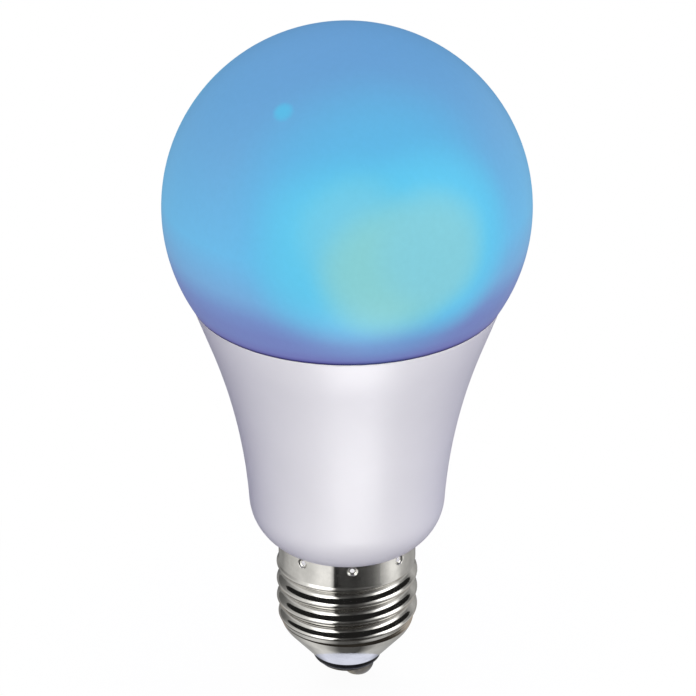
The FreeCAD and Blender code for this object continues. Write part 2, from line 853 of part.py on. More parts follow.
# lead wires
def lead(label, points, bend):
    """A round wire of straight runs joined by arcs of one radius."""
    radius = size("lead_radius")
    places = [FreeCAD.Vector(*[size(text) for text in point]) for point in points]
    edges = []
    start = places[0]
    for index in range(1, len(places) - 1):
        before = (places[index - 1] - places[index]).normalize()
        after = (places[index + 1] - places[index]).normalize()
        half_turn = (math.pi - before.getAngle(after)) / 2
        setback = size(bend) * math.tan(half_turn)
        first = places[index] + before * setback
        last = places[index] + after * setback
        inward = (before + after).normalize()
        middle = places[index] + inward * size(bend) * (1 / math.cos(half_turn) - 1)
        edges.append(Part.LineSegment(start, first).toShape())
        edges.append(Part.Arc(first, middle, last).toShape())
        start = last
    edges.append(Part.LineSegment(start, places[-1]).toShape())
    path = Part.Wire(edges)
    section = Part.Wire(Part.makeCircle(radius, places[0], places[1] - places[0]))
    wire = doc.addObject("Part::Feature", label)
    wire.Label = label
    wire.Shape = path.makePipeShell([section], True, True)
    return wire


def make_leads():
    live_y = "driver_face + lead_radius"
    live = lead("live_lead", [
        ("0", live_y, "lead_top"),
        ("0", live_y, "neck_foot"),
        ("0", "0", "neck_foot - 2 * live_bend"),
        ("0", "0", "contact_top + live_stand"),
    ], "live_bend")
    neutral_y = "-driver_face - lead_radius"
    neutral = lead("neutral_lead", [
        ("neutral_shift", neutral_y, "lead_top"),
        ("neutral_shift", neutral_y, "neutral_height"),
        ("root_radius - sheet - lead_gap", neutral_y, "neutral_height"),
    ], "neutral_bend")
    return live, neutral


# rolled screw shell: each level of the sheet is a circle set off the axis, and the offset turns once a pitch
def eased(x):
    x = min(max(x, 0), 1)
    return x * x * (3 - 2 * x)


def shell_radius(height, inset):
    """The radius of one face of the sheet, without the thread's offset."""
    mean = size("thread_mean")
    bend = size("bend_radius")
    drop = size("bend_height") - height
    if drop <= 0:
        rise = eased((height - size("thread_top - top_fade")) / size("top_fade"))
        return mean + (size("collar_radius") - mean) * rise - inset
    return mean - bend + math.sqrt(bend ** 2 - drop ** 2) - inset / math.sqrt(1 - (drop / bend) ** 2)


def thread_offset(height):
    """How far off the axis the circle of a level lies, fading out at both ends of the thread."""
    top = eased((size("thread_top") - height) / size("top_fade"))
    foot = eased((height - size("thread_foot")) / size("foot_fade"))
    return (size("crest_radius") - size("root_radius")) / 2 * top * foot


def rolled_face(inset):
    """The threaded part of one face of the sheet, as a cubic surface that closes on itself."""
    pitch = size("thread_pitch")
    foot = size("bend_foot")
    top = size("thread_top")
    rows = max(round((top - foot) / pitch * THREAD_POLES_A_PITCH), 4)
    step = (top - foot) / rows
    around = THREAD_POLES_AROUND
    # a cubic surface lies a little inside its poles, by these factors on the circle and along the thread
    circle_factor = (2 + math.cos(2 * math.pi / around)) / 3
    thread_factor = (2 + math.cos(2 * math.pi * step / pitch)) / 3
    knots = [0] * 3 + list(range(rows + 1)) + [rows] * 3
    levels = []
    for row in range(rows + 3):
        height = foot + step * sum(knots[row + 1:row + 4]) / 3
        phase = math.pi + 2 * math.pi * (height - size("crest_height")) / pitch
        offset = thread_offset(height) / thread_factor
        centre = FreeCAD.Vector(offset * math.cos(phase), offset * math.sin(phase), height)
        levels.append((centre, shell_radius(height, inset) / circle_factor))
    poles = []
    for column in range(around):
        angle = 2 * math.pi * (column - 1) / around
        outward = FreeCAD.Vector(math.cos(angle), math.sin(angle), 0)
        poles.append([centre + outward * radius for centre, radius in levels])
    surface = Part.BSplineSurface()
    surface.buildFromPolesMultsKnots(
        poles,
        [1] * (around + 1),
        [4] + [1] * (rows - 1) + [4],
        list(range(around + 1)),
        list(range(rows + 1)),
        True, False, 3, 3,
    )
    return surface.toShape()


def filled_shell(inset):
    """Everything inside one face of the sheet: the cone, the rolled thread and the plain collar."""
    foot = size("bend_foot")
    top = size("thread_top")
    lip = size("lip_height")
    side = rolled_face(inset)
    rings = [edge for edge in side.Edges if edge.BoundBox.ZLength < JOIN_TOLERANCE]
    skin = Part.makeCompound([side] + [Part.Face(Part.Wire(ring)) for ring in rings])
    skin.sewShape()
    thread = Part.Solid(skin.Shells[0])
    on_cone = inset / math.cos(math.radians(size("cone_angle")))
    radii = size("lip_radius") - on_cone, size("cone_top") - on_cone
    cone = Part.makeCone(*radii, foot - lip, FreeCAD.Vector(0, 0, lip))
    collar_radius = size("collar_radius") - inset
    collar = Part.makeCylinder(collar_radius, size("shoulder_z") - top, FreeCAD.Vector(0, 0, top))
    return thread.fuse([cone, collar], JOIN_TOLERANCE)


def make_screw_shell():
    shape = filled_shell(0).cut(filled_shell(size("sheet")))
    reach = size("crimp_reach")
    # a bump stops half way through the sheet, so that its cut edge is buried in the collar
    inside = Part.makeCylinder(size("collar_radius - sheet / 2"), size("shoulder_z"))
    for index in range(int(size("crimp_count"))):
        angle = math.radians(size("crimp_turn") + index * 360 / size("crimp_count"))
        centre = FreeCAD.Vector(reach * math.cos(angle), reach * math.sin(angle), size("crimp_height"))
        bump = Part.makeSphere(size("crimp_ball + sheet"), centre).common(inside)
        shape = shape.fuse(bump)
        shape = shape.cut(Part.makeSphere(size("crimp_ball"), centre))
    shell = doc.addObject("Part::Feature", "screw_shell")
    shell.Label = "screw_shell"
    shell.Shape = shape
    return shell


# foot of the cap
def cone_inside(height):
    """The radius of the sheet's inner face on the cone, less the seat's clearance."""
    return f"lip_radius + ({height} - lip_height) * tan(cone_angle) - sheet / cos(cone_angle) - seat_gap"


def make_insulator():
    rim_top = "(lip_height - seat_gap)"
    corners = [
        ("rivet_radius + seat_gap", "contact_top"),
        ("contact_radius", "contact_top"),
        ("insulator_rim", rim_top),
        ("lip_radius - sheet / cos(cone_angle) - seat_gap * 2", rim_top),
        (cone_inside("lip_height"), "lip_height"),
        (cone_inside("insulator_top"), "insulator_top"),
        ("rivet_radius + seat_gap", "insulator_top"),
    ]
    return revolved("cap_insulator", corners)


def make_contact():
    top = "insulator_top + rivet_stand"
    corners = [
        ("rivet_bore", "contact_foot"),
        ("contact_radius - contact_round", "contact_foot"),
        ("contact_radius", "contact_foot + contact_round"),
        ("contact_radius", "contact_top"),
        ("rivet_radius", "contact_top"),
        ("rivet_radius", top),
        ("rivet_bore", top),
    ]
    return revolved("centre_contact", corners, {1: ("contact_round", 1)})


def make_solder():
    corners = [
        ("0", "0"),
        ("solder_radius - solder_edge", "0"),
        ("solder_radius", "contact_foot"),
        ("0", "contact_foot"),
    ]
    body = revolved("contact_solder", corners, {1: ("solder_radius", 1)})
    move(body, "solder_shift")
    return body


def make_all():
    """Every piece of the lamp, from the globe down."""
    core, winding = make_transformer()
    radio_board, radio_lid = make_radio()
    live, neutral = make_leads()
    screws = [make_board_screw(index) for index in range(int(size("screw_count")))]
    return [
        make_globe(),
        make_bead(),
        make_housing(),
        make_heat_sink(),
        make_led_board(),
        group("board_screws", screws),
        *make_emitters(),
        make_socket(),
        group("header_pins", pin_boxes("header_pin", "header_foot")),
        make_header(),
        make_driver_board(),
        core,
        winding,
        make_can("bulk_capacitor", "bulk_radius", "bulk_length", "bulk_foot", "-driver_face - bulk_radius"),
        make_can("filter_capacitor", "filter_radius", "filter_length", "filter_foot",
                 "driver_face + filter_radius"),
        make_choke(),
        make_film_capacitor(),
        make_chip("driver_chip", "chip_left", "chip_foot", "driver_face", -1,
                  "chip_length", "chip_width", "chip_height"),
        make_chip("bridge_rectifier", "-bridge_length / 2", "bridge_foot", "driver_face", 1,
                  "bridge_length", "bridge_width", "bridge_height"),
        make_fuse_resistor(),
        radio_board,
        radio_lid,
        live,
        neutral,
        make_screw_shell(),
        make_insulator(),
        make_contact(),
        make_solder(),
    ]


pieces = make_all()
doc.recompute()

faults = [thing.Name for thing in doc.Objects if {"Invalid", "Error"} & set(thing.State)]
for piece in pieces:
    if piece.Shape.isNull() or not piece.Shape.isValid() or not piece.Shape.Solids:
        faults.append(piece.Label)
if faults:
    raise RuntimeError("these objects failed: " + ", ".join(faults))

os.makedirs("parts", exist_ok=True)
for piece in pieces:
    piece.Shape.exportStep(f"parts/{piece.Label}.step")
    solids = len(piece.Shape.Solids)
    print(f"{piece.Label}: {solids} solids, {piece.Shape.Volume:.1f} mm3")
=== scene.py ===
import math

import bpy
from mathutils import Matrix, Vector


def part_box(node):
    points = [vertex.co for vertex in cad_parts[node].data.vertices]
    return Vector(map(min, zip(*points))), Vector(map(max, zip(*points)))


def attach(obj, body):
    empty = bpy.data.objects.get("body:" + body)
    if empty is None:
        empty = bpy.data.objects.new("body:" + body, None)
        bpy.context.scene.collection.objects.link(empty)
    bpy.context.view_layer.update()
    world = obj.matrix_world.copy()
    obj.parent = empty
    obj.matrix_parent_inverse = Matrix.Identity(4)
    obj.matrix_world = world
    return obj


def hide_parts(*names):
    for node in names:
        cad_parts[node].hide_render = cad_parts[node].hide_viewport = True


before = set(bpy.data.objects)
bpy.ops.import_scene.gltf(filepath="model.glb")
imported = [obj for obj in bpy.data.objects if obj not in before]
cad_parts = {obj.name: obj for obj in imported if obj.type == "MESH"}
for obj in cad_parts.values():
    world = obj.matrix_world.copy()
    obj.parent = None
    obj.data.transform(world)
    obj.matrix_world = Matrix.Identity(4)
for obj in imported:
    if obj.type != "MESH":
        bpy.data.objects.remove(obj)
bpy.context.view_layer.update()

# A globe lamp, glowing blue, on a nickel-plated screw cap. Sizes are in millimetres, Blender's in metres.

MM = 0.001

# globe and housing
GLOBE_RADIUS = 33.5
GLOBE_WALL = 1.2
SEAM_ANGLE = 32.1
SPIGOT_WALL = 1.1
SPIGOT_DEPTH = 2.3
BEAD_WIDTH = 1.27
TAPER_ANGLE = 20.5
TAPER_LENGTH = 8.85
HOLLOW_RADIUS = 115.0
WAIST_RADIUS = 18.18
WAIST_LEAN = 3.7
WAIST_RISE = 8.321
CORNER_RADIUS = 10.16
HOUSING_WALL = 1.6
NECK_WALL = 1.5
NECK_GAP = 0.1
NECK_RELIEF = 0.4
RIM_ROUND = 0.28
SHOULDER_ROUND = 0.3

# rolled screw shell
CREST_RADIUS = 13.2
THREAD_DEPTH = 1.1
COLLAR_STEP = 0.4
COLLAR_LENGTH = 4.319
THREAD_LENGTH = 11.5
THREAD_PITCH = 3.629
CREST_DROP = 1.25
TOP_FADE = 1.3
FOOT_FADE = 2.2
FADE_DROP = 1.5
SHEET = 0.3
BEND_RADIUS = 5.0
CONE_ANGLE = 41.0
CRIMPS = 8
CRIMP_DROP = 1.0
CRIMP_TURN = -85.5
CRIMP_DEPTH = 0.42
CRIMP_REACH = 0.95
# shares of a crimp's reach: the finer mesh, the punch's face and the sheet drawn in with it
CRIMP_CUT = 1.2
CRIMP_PUNCH = 0.3
CRIMP_DRAW = 0.7

# foot of the cap
CONTACT_RADIUS = 5.2
RIVET_RADIUS = 1.5
SEAT_GAP = 0.05
BEAD_SET_IN = 0.06
BEAD_SWELL = 1.35
SOLDER_FLAT = 1.0

# how finely the forms are cut
EDGE_STEPS = 4
GLOBE_SEGMENTS = 160
GLOBE_STEPS = 72
HOUSING_SEGMENTS = 160
HOLLOW_STEPS = 40
CORNER_STEPS = 18
INNER_HOLLOW_STEPS = 20
INNER_CORNER_STEPS = 10
SHELL_SEGMENTS = 256
SHELL_STEP = 0.17
BEAD_SEGMENTS = 128
SWELL_STEPS = 12
SOLDER_SEGMENTS = 72
SOLDER_STEPS = 10
MERGE_REACH = 0.002
SMOOTH_ANGLE = 40
SHEET_SMOOTH_ANGLE = 50


def corners(node):
    """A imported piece's lowest and highest corners, in millimetres."""
    low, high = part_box(node)
    return low / MM, high / MM


shell_low, shell_high = corners("screw_shell")
bead_low, bead_high = corners("cap_insulator")
solder_low, solder_high = corners("contact_solder")

globe_centre = corners("diffuser_globe")[1].z - GLOBE_RADIUS
seam_height = corners("housing")[1].z
seam_radius = GLOBE_RADIUS * math.cos(math.radians(SEAM_ANGLE))
shoulder_height = shell_high.z
thread_top = shoulder_height - COLLAR_LENGTH
thread_mean = CREST_RADIUS - THREAD_DEPTH / 2
collar_radius = CREST_RADIUS - COLLAR_STEP
bend_height = thread_top - THREAD_LENGTH
lip_height = shell_low.z


# modelling helpers
def deselect():
    bpy.ops.object.select_all(action="DESELECT")


def arc_between(first, last, radius, side, steps):
    """Points of an arc after first, up to last, its centre on the left (1) or the right (-1) of the way."""
    first, last = Vector(first), Vector(last)
    chord = last - first
    left = Vector((-chord.y, chord.x)).normalized()
    rise = math.sqrt(max(radius ** 2 - (chord.length / 2) ** 2, 0))
    centre = (first + last) / 2 + left * rise * side
    start = math.atan2(first.y - centre.y, first.x - centre.x)
    turn = 2 * math.asin(min(chord.length / 2 / radius, 1)) * side
    points = []
    for step in range(1, steps + 1):
        angle = start + turn * step / steps
        points.append((centre.x + radius * math.cos(angle), centre.y + radius * math.sin(angle)))
    return points


def rounded(before, corner, after, radius, steps):
    """The points that round off a corner between two straight stretches."""
    before, corner, after = Vector(before), Vector(corner), Vector(after)
    back = (before - corner).normalized()
    on = (after - corner).normalized()
    half = back.angle(on) / 2
    setback = radius / math.tan(half)
    first, last = corner + back * setback, corner + on * setback
    side = 1 if back.x * on.y - back.y * on.x < 0 else -1
    return [tuple(first)] + arc_between(first, last, radius, side, steps)


def single_point(name):
    """A new mesh with one vertex at the origin, left in edit mode with that vertex selected."""
    deselect()
    bpy.ops.mesh.primitive_plane_add(size=MM)
    piece = bpy.context.object
    piece.name = name
    piece.data.name = name
    bpy.ops.object.mode_set(mode="EDIT")
    bpy.ops.mesh.select_all(action="SELECT")
    bpy.ops.mesh.merge(type="CENTER")
    return piece


def draw_along(points):
    """Draws the one selected vertex into a line along points in millimetres, and selects the line."""
    here = Vector((0, 0, 0))
    for index, point in enumerate(points):
        there = Vector(point) * MM
        if index:
            bpy.ops.mesh.extrude_vertices_move(TRANSFORM_OT_translate={"value": there - here})
        else:
            bpy.ops.transform.translate(value=there)
        here = there
    bpy.ops.mesh.select_all(action="SELECT")


def turned(name, profile, segments):
    """A form turned about the lamp's axis from a closed profile of radius and height."""
    piece = single_point(name)
    draw_along([(radius, 0, height) for radius, height in profile])
    if profile[0][0] > 0:
        join_ends()
    bpy.ops.mesh.select_all(action="SELECT")
    bpy.ops.mesh.spin(steps=segments, angle=2 * math.pi, center=(0, 0, 0), axis=(0, 0, 1))
    close_and_shade()
    return piece


def join_ends():
    """Joins the two ends of an open line of vertices, so that the profile is closed."""
    mesh = bpy.context.object.data
    bpy.ops.object.mode_set(mode="OBJECT")
    uses = [0] * len(mesh.vertices)
    for edge in mesh.edges:
        for vertex in edge.vertices:
            uses[vertex] += 1
    for vertex in mesh.vertices:
        vertex.select = uses[vertex.index] == 1
    for edge in mesh.edges:
        edge.select = False
    bpy.ops.object.mode_set(mode="EDIT")
    bpy.ops.mesh.edge_face_add()


def close_and_shade():
    """Merges what coincides, turns the faces outwards and smooths all but the real edges."""
    bpy.ops.mesh.select_all(action="SELECT")
    bpy.ops.mesh.remove_doubles(threshold=MERGE_REACH * MM)
    bpy.ops.mesh.normals_make_consistent(inside=False)
    bpy.ops.object.mode_set(mode="OBJECT")
    bpy.ops.object.shade_smooth_by_angle(angle=math.radians(SMOOTH_ANGLE))


def select_near(piece, place, reach):
    """Selects the vertices within a reach of a place, from edit mode and back to it."""
    bpy.ops.mesh.select_all(action="DESELECT")
    bpy.ops.object.mode_set(mode="OBJECT")
    for vertex in piece.data.vertices:
        vertex.select = (vertex.co - place).length < reach
    bpy.ops.object.mode_set(mode="EDIT")
    bpy.ops.mesh.select_mode(type="VERT")


# opal globe
def opal_globe():
    centre_line = (0, globe_centre)
    mouth = seam_radius - HOUSING_WALL / math.cos(math.radians(TAPER_ANGLE))
    spigot = mouth - BEAD_WIDTH
    spigot_foot = seam_height - SPIGOT_DEPTH
    flange_top = seam_height + GLOBE_WALL
    bore = GLOBE_RADIUS - GLOBE_WALL
    flange = math.sqrt(bore ** 2 - (globe_centre - flange_top) ** 2)
    seam = (seam_radius, seam_height)
    lean = math.radians(SEAM_ANGLE)
    up_the_globe = (seam_radius + math.sin(lean), seam_height + math.cos(lean))
    lip = rounded(up_the_globe, seam, (spigot, seam_height), RIM_ROUND, EDGE_STEPS)
    reach = Vector(lip[0]) - Vector(centre_line)
    lip_angle = math.atan2(reach.y, reach.x)
    profile = []
    for step in range(GLOBE_STEPS + 1):
        angle = math.pi / 2 + (lip_angle - math.pi / 2) * step / GLOBE_STEPS
        profile.append((GLOBE_RADIUS * math.cos(angle), globe_centre + GLOBE_RADIUS * math.sin(angle)))
    profile[0] = (0, globe_centre + GLOBE_RADIUS)
    profile += lip[1:]
    profile += [
        (spigot, seam_height),
        (spigot, spigot_foot),
        (spigot - SPIGOT_WALL, spigot_foot),
        (spigot - SPIGOT_WALL, flange_top),
        (flange, flange_top),
    ]
    flange_angle = math.asin((flange_top - globe_centre) / bore)
    inner_steps = GLOBE_STEPS // 2
    for step in range(1, inner_steps + 1):
        angle = flange_angle + (math.pi / 2 - flange_angle) * step / inner_steps
        profile.append((bore * math.cos(angle), globe_centre + bore * math.sin(angle)))
    profile[-1] = (0, globe_centre + bore)
    return turned("opal_globe", profile, GLOBE_SEGMENTS)


# waisted housing
def inset(point, lean, depth):
    """The point moved into the wall, square to a wall that leans out by an angle."""
    return point[0] - depth * math.cos(lean), point[1] + depth * math.sin(lean)


def waisted_housing():
    taper = math.radians(TAPER_ANGLE)
    waist_lean = math.radians(WAIST_LEAN)
    waist_height = shoulder_height + WAIST_RISE
    rim = (seam_radius, seam_height)
    taper_foot = (seam_radius - TAPER_LENGTH * math.sin(taper), seam_height - TAPER_LENGTH * math.cos(taper))
    waist = (WAIST_RADIUS, waist_height)
    shoulder = (collar_radius, shoulder_height)
    mouth = (seam_radius - HOUSING_WALL / math.cos(taper), seam_height)
    neck = CREST_RADIUS - THREAD_DEPTH - SHEET - NECK_GAP
    neck_top = collar_radius - SHEET - NECK_GAP
    neck_step = thread_top + NECK_RELIEF
    neck_foot = bend_height + NECK_GAP
    bore = neck - NECK_WALL
    corner_centre = (
        WAIST_RADIUS - CORNER_RADIUS * math.cos(waist_lean),
        waist_height + CORNER_RADIUS * math.sin(waist_lean),
    )
    inner_corner = CORNER_RADIUS - HOUSING_WALL
    bore_top = corner_centre[1] - math.sqrt(inner_corner ** 2 - (bore - corner_centre[0]) ** 2)
    corner = arc_between(waist, shoulder, CORNER_RADIUS, -1, CORNER_STEPS)
    profile = [mouth]
    profile += rounded(mouth, rim, taper_foot, RIM_ROUND, EDGE_STEPS)
    profile += [taper_foot]
    profile += arc_between(taper_foot, waist, HOLLOW_RADIUS, 1, HOLLOW_STEPS)
    profile += corner[:-1]
    ledge = (neck_top, shoulder_height)
    profile += rounded(corner[-2], shoulder, ledge, SHOULDER_ROUND, EDGE_STEPS)
    profile += [
        ledge,
        (neck_top, neck_step),
        (neck, neck_step - (neck_top - neck)),
        (neck, neck_foot),
        (bore, neck_foot),
        (bore, bore_top),
    ]
    inner_waist = inset(waist, waist_lean, HOUSING_WALL)
    inner_taper = inset(taper_foot, taper, HOUSING_WALL)
    profile += arc_between((bore, bore_top), inner_waist, inner_corner, 1, INNER_CORNER_STEPS)
    inner_hollow = HOLLOW_RADIUS + HOUSING_WALL
    profile += arc_between(inner_waist, inner_taper, inner_hollow, -1, INNER_HOLLOW_STEPS)
    return turned("waisted_housing", profile, HOUSING_SEGMENTS)


# rolled screw shell: rings drawn up one by one, each set off the axis by the thread
def eased(x):
    """0 below 0, 1 above 1, and a soft step between them."""
    x = min(max(x, 0), 1)
    return x * x * (3 - 2 * x)


def shell_radius(height):
    """The radius of the sheet's outer face, midway between crest and root, from collar to cone."""
    drop = bend_height - height
    if drop <= 0:
        rise = eased((height - thread_top + TOP_FADE) / TOP_FADE)
        return thread_mean + (collar_radius - thread_mean) * rise
    cone = math.radians(CONE_ANGLE)
    straight = drop - BEND_RADIUS * math.sin(cone)
    if straight <= 0:
        return thread_mean - BEND_RADIUS + math.sqrt(BEND_RADIUS ** 2 - drop ** 2)
    return thread_mean - BEND_RADIUS * (1 - math.cos(cone)) - straight * math.tan(cone)


def thread_offset(height):
    """How far the thread sets a ring off the axis; it fades out at both ends."""
    top = eased((thread_top - height) / TOP_FADE)
    foot = eased((height - bend_height + FADE_DROP) / FOOT_FADE)
    return THREAD_DEPTH / 2 * top * foot


def ring_place(height):
    """The centre and the radius of the sheet's outer face at a height."""
    phase = math.pi + 2 * math.pi * (height - thread_top + CREST_DROP) / THREAD_PITCH
    offset = thread_offset(height)
    return Vector((offset * math.cos(phase), offset * math.sin(phase), height)), shell_radius(height)


def crimp(piece, angle):
    """Punches one dent into the collar, where the sheet is held to the neck."""
    outward = Vector((math.cos(angle), math.sin(angle), 0))
    place = outward * collar_radius * MM
    place.z = (shoulder_height - CRIMP_DROP) * MM
    select_near(piece, place, CRIMP_CUT * CRIMP_REACH * MM)
    bpy.ops.mesh.subdivide(number_cuts=2, quadcorner="INNERVERT")
    select_near(piece, place, CRIMP_PUNCH * CRIMP_REACH * MM)
    bpy.ops.transform.translate(
        value=outward * -CRIMP_DEPTH * MM,
        use_proportional_edit=True,
        proportional_edit_falloff="SPHERE",
        proportional_size=CRIMP_DRAW * CRIMP_REACH * MM,
    )


def rolled_shell():
    tall = shoulder_height - lip_height
    steps = round(tall / SHELL_STEP)
    heights = [lip_height + tall * step / steps for step in range(steps + 1)]
    centre, radius = ring_place(heights[0])
    deselect()
    bpy.ops.mesh.primitive_circle_add(vertices=SHELL_SEGMENTS, radius=radius * MM, location=centre * MM)
    bpy.ops.object.transform_apply(location=True, rotation=True, scale=True)
    piece = bpy.context.object
    piece.name = "rolled_shell"
    piece.data.name = "rolled_shell"
    bpy.ops.object.mode_set(mode="EDIT")
    bpy.ops.mesh.select_all(action="SELECT")
    for height in heights[1:]:
        next_centre, next_radius = ring_place(height)
        shift = (next_centre - centre) * MM
        bpy.ops.mesh.extrude_region_move(TRANSFORM_OT_translate={"value": shift})
        grow = next_radius / radius
        bpy.ops.transform.resize(value=(grow, grow, 1), center_override=next_centre * MM)
        centre, radius = next_centre, next_radius
    for index in range(CRIMPS):
        crimp(piece, math.radians(CRIMP_TURN + index * 360 / CRIMPS))
    bpy.ops.mesh.select_all(action="SELECT")
    bpy.ops.mesh.normals_make_consistent(inside=False)
    bpy.ops.object.mode_set(mode="OBJECT")
    walled = piece.modifiers.new("sheet", "SOLIDIFY")
    walled.thickness = SHEET * MM
    walled.offset = -1
    bpy.ops.object.modifier_apply(modifier=walled.name)
    bpy.ops.object.shade_smooth_by_angle(angle=math.radians(SHEET_SMOOTH_ANGLE))
    return piece


# glass bead that fills the foot of the shell and swells out under its lip
def glass_bead():
    foot = bead_low.z
    top = bead_high.z
    wide = bead_high.x
    core = RIVET_RADIUS + SEAT_GAP
    lip = shell_radius(lip_height)
    inside = lip - SHEET / math.cos(math.radians(CONE_ANGLE))
    swell = (lip - BEAD_SET_IN, lip_height - BEAD_SET_IN)
    profile = [(core, foot), (CONTACT_RADIUS, foot)]
    profile += arc_between((CONTACT_RADIUS, foot), swell, BEAD_SWELL, 1, SWELL_STEPS)
    profile += [(inside - BEAD_SET_IN, lip_height), (wide, top), (core, top)]
    return turned("glass_bead", profile, BEAD_SEGMENTS)


# solder on the centre contact, domed and off the axis; its finish makes it uneven
def solder_blob():
    foot = solder_low.z
    top = solder_high.z
    middle = Vector(((solder_low.x + solder_high.x) / 2, (solder_low.y + solder_high.y) / 2, 0))
    wide = (solder_high.x - solder_low.x) / 2
    flat = wide - SOLDER_FLAT
    profile = [(0, foot), (flat, foot)]
    profile += arc_between((flat, foot), (wide, top), wide, 1, SOLDER_STEPS)
    profile += [(0, top)]
    piece = turned("solder_blob", profile, SOLDER_SEGMENTS)
    bpy.ops.object.mode_set(mode="EDIT")
    bpy.ops.mesh.select_all(action="SELECT")
    bpy.ops.transform.translate(value=middle * MM)
    bpy.ops.object.mode_set(mode="OBJECT")
    return piece


# finishes; bump distances are in metres
FINE_BUMP = 0.0001
TRACK_BUMP = 0.00003
FLOW_BUMP = 0.0002
WRINKLE_BUMP = 0.0003
# where a noise is taken for low and for high
MOTTLE_LOW = 0.3
MOTTLE_HIGH = 0.7
# metal: shade of the tarnish, height of a drawn line to its length, roughness where bright and where dull
TARNISH = 0.82
LINE_STRETCH = 0.03
BRIGHT_SHARE = 0.75
DULL_SHARE = 1.3
# the painted shade line at the cap's lip, where the sheet meets the glass, and how far it fades above
LIP_LINE = 0.12
LIP_FADE = 0.3
LIP_PAINTED_SHADE = (0.035, 0.033, 0.03)
# moulded materials: unevenness of colour and of roughness
UNEVEN_COLOUR = 0.12
UNEVEN_SHEEN = 0.15
# circuit boards
TRACK_OFFSET = 0.37
TRACK_LENGTH = 4.1
TRACK_PITCH = 2.3
TRACK_WIDTH = 0.22
# the pale stripe of a can's sleeve
STRIPE_EDGE = 1.4
STRIPE_FULL = 1.5


def new_finish(name):
    """A new material with its node tree, links, shader and a node that reads the object's coordinates."""
    material = bpy.data.materials.new(name)
    material.use_nodes = True
    nodes, links = material.node_tree.nodes, material.node_tree.links
    shader = nodes["Principled BSDF"]
    place = nodes.new("ShaderNodeTexCoord")
    return material, nodes, links, shader, place.outputs["Object"]


def noise(nodes, links, vector, scale, detail=2.0, roughness=0.5):
    """The level of a noise, about 0.5 in the mean."""
    texture = nodes.new("ShaderNodeTexNoise")
    texture.inputs["Scale"].default_value = scale
    texture.inputs["Detail"].default_value = detail
    texture.inputs["Roughness"].default_value = roughness
    links.new(vector, texture.inputs["Vector"])
    return texture.outputs["Fac"]


def ramp(nodes, links, factor, stops):
    """Colours along a factor; each stop is a position and a linear colour."""
    node = nodes.new("ShaderNodeValToRGB")
    elements = node.color_ramp.elements
    while len(elements) < len(stops):
        elements.new(0.5)
    for element, (position, colour) in zip(elements, stops):
        element.position = position
        element.color = (*colour, 1)
    links.new(factor, node.inputs["Fac"])
    return node.outputs["Color"]


def mottled(nodes, links, level, dark, light):
    """An uneven colour, dark where a noise is low and light where it is high."""
    return ramp(nodes, links, level, [(MOTTLE_LOW, dark), (MOTTLE_HIGH, light)])


def spread(nodes, links, value, low, high, from_low=0.0, from_high=1.0, kind="LINEAR"):
    """The value moved from one range to another."""
    node = nodes.new("ShaderNodeMapRange")
    node.interpolation_type = kind
    node.inputs["From Min"].default_value = from_low
    node.inputs["From Max"].default_value = from_high
    node.inputs["To Min"].default_value = low
    node.inputs["To Max"].default_value = high
    links.new(value, node.inputs["Value"])
    return node.outputs["Result"]


def blended(nodes, links, factor, first, second, blend="MIX"):
    """Two colours mixed by a factor; each may be a socket or a linear colour."""
    node = nodes.new("ShaderNodeMix")
    node.data_type = "RGBA"
    node.blend_type = blend
    for socket, colour in ((node.inputs[6], first), (node.inputs[7], second)):
        if isinstance(colour, tuple):
            socket.default_value = (*colour, 1)
        else:
            links.new(colour, socket)
    if isinstance(factor, float):
        node.inputs[0].default_value = factor
    else:
        links.new(factor, node.inputs[0])
    return node.outputs[2]


def grey(nodes, links, value):
    """A value as a colour."""
    node = nodes.new("ShaderNodeCombineColor")
    for channel in ("Red", "Green", "Blue"):
        links.new(value, node.inputs[channel])
    return node.outputs["Color"]


def bumped(nodes, links, shader, height, strength, distance=FINE_BUMP):
    """Raises the surface by a height, in its shading only."""
    node = nodes.new("ShaderNodeBump")
    node.inputs["Strength"].default_value = strength
    node.inputs["Distance"].default_value = distance
    links.new(height, node.inputs["Height"])
    links.new(node.outputs["Normal"], shader.inputs["Normal"])


def mapped(nodes, links, vector, **settings):
    """The coordinates after a Mapping node with the given Location, Rotation or Scale."""
    node = nodes.new("ShaderNodeMapping")
    for socket, value in settings.items():
        node.inputs[socket].default_value = value
    links.new(vector, node.inputs["Vector"])
    return node.outputs["Vector"]


def one_axis(nodes, links, vector, axis):
    """One coordinate of a vector."""
    node = nodes.new("ShaderNodeSeparateXYZ")
    links.new(vector, node.inputs["Vector"])
    return node.outputs[axis]


def vector_math(nodes, links, operation, *values, output="Vector"):
    """Arithmetic on vectors; each value may be a socket or a vector."""
    node = nodes.new("ShaderNodeVectorMath")
    node.operation = operation
    for socket, value in zip(node.inputs, values):
        if isinstance(value, tuple):
            socket.default_value = value
        else:
            links.new(value, socket)
    return node.outputs[output]


def value_math(nodes, links, operation, first, second):
    """Arithmetic on two values."""
    node = nodes.new("ShaderNodeMath")
    node.operation = operation
    links.new(first, node.inputs[0])
    links.new(second, node.inputs[1])
    return node.outputs["Value"]


def show_mixed(nodes, links, factor, first, second, output):
    """Sends two shaders, mixed by a factor, to the material's or the world's output."""
    node = nodes.new("ShaderNodeMixShader")
    links.new(factor, node.inputs["Fac"])
    links.new(first, node.inputs[1])
    links.new(second, node.inputs[2])
    links.new(node.outputs["Shader"], nodes[output].inputs["Surface"])


def linear(red, green, blue):
    """A colour written in 0 to 255 as it shows, as the linear colour that a shader takes."""
    channels = []
    for value in (red, green, blue):
        value /= 255
        channels.append(value / 12.92 if value <= 0.04045 else ((value + 0.055) / 1.055) ** 2.4)
    return tuple(channels)


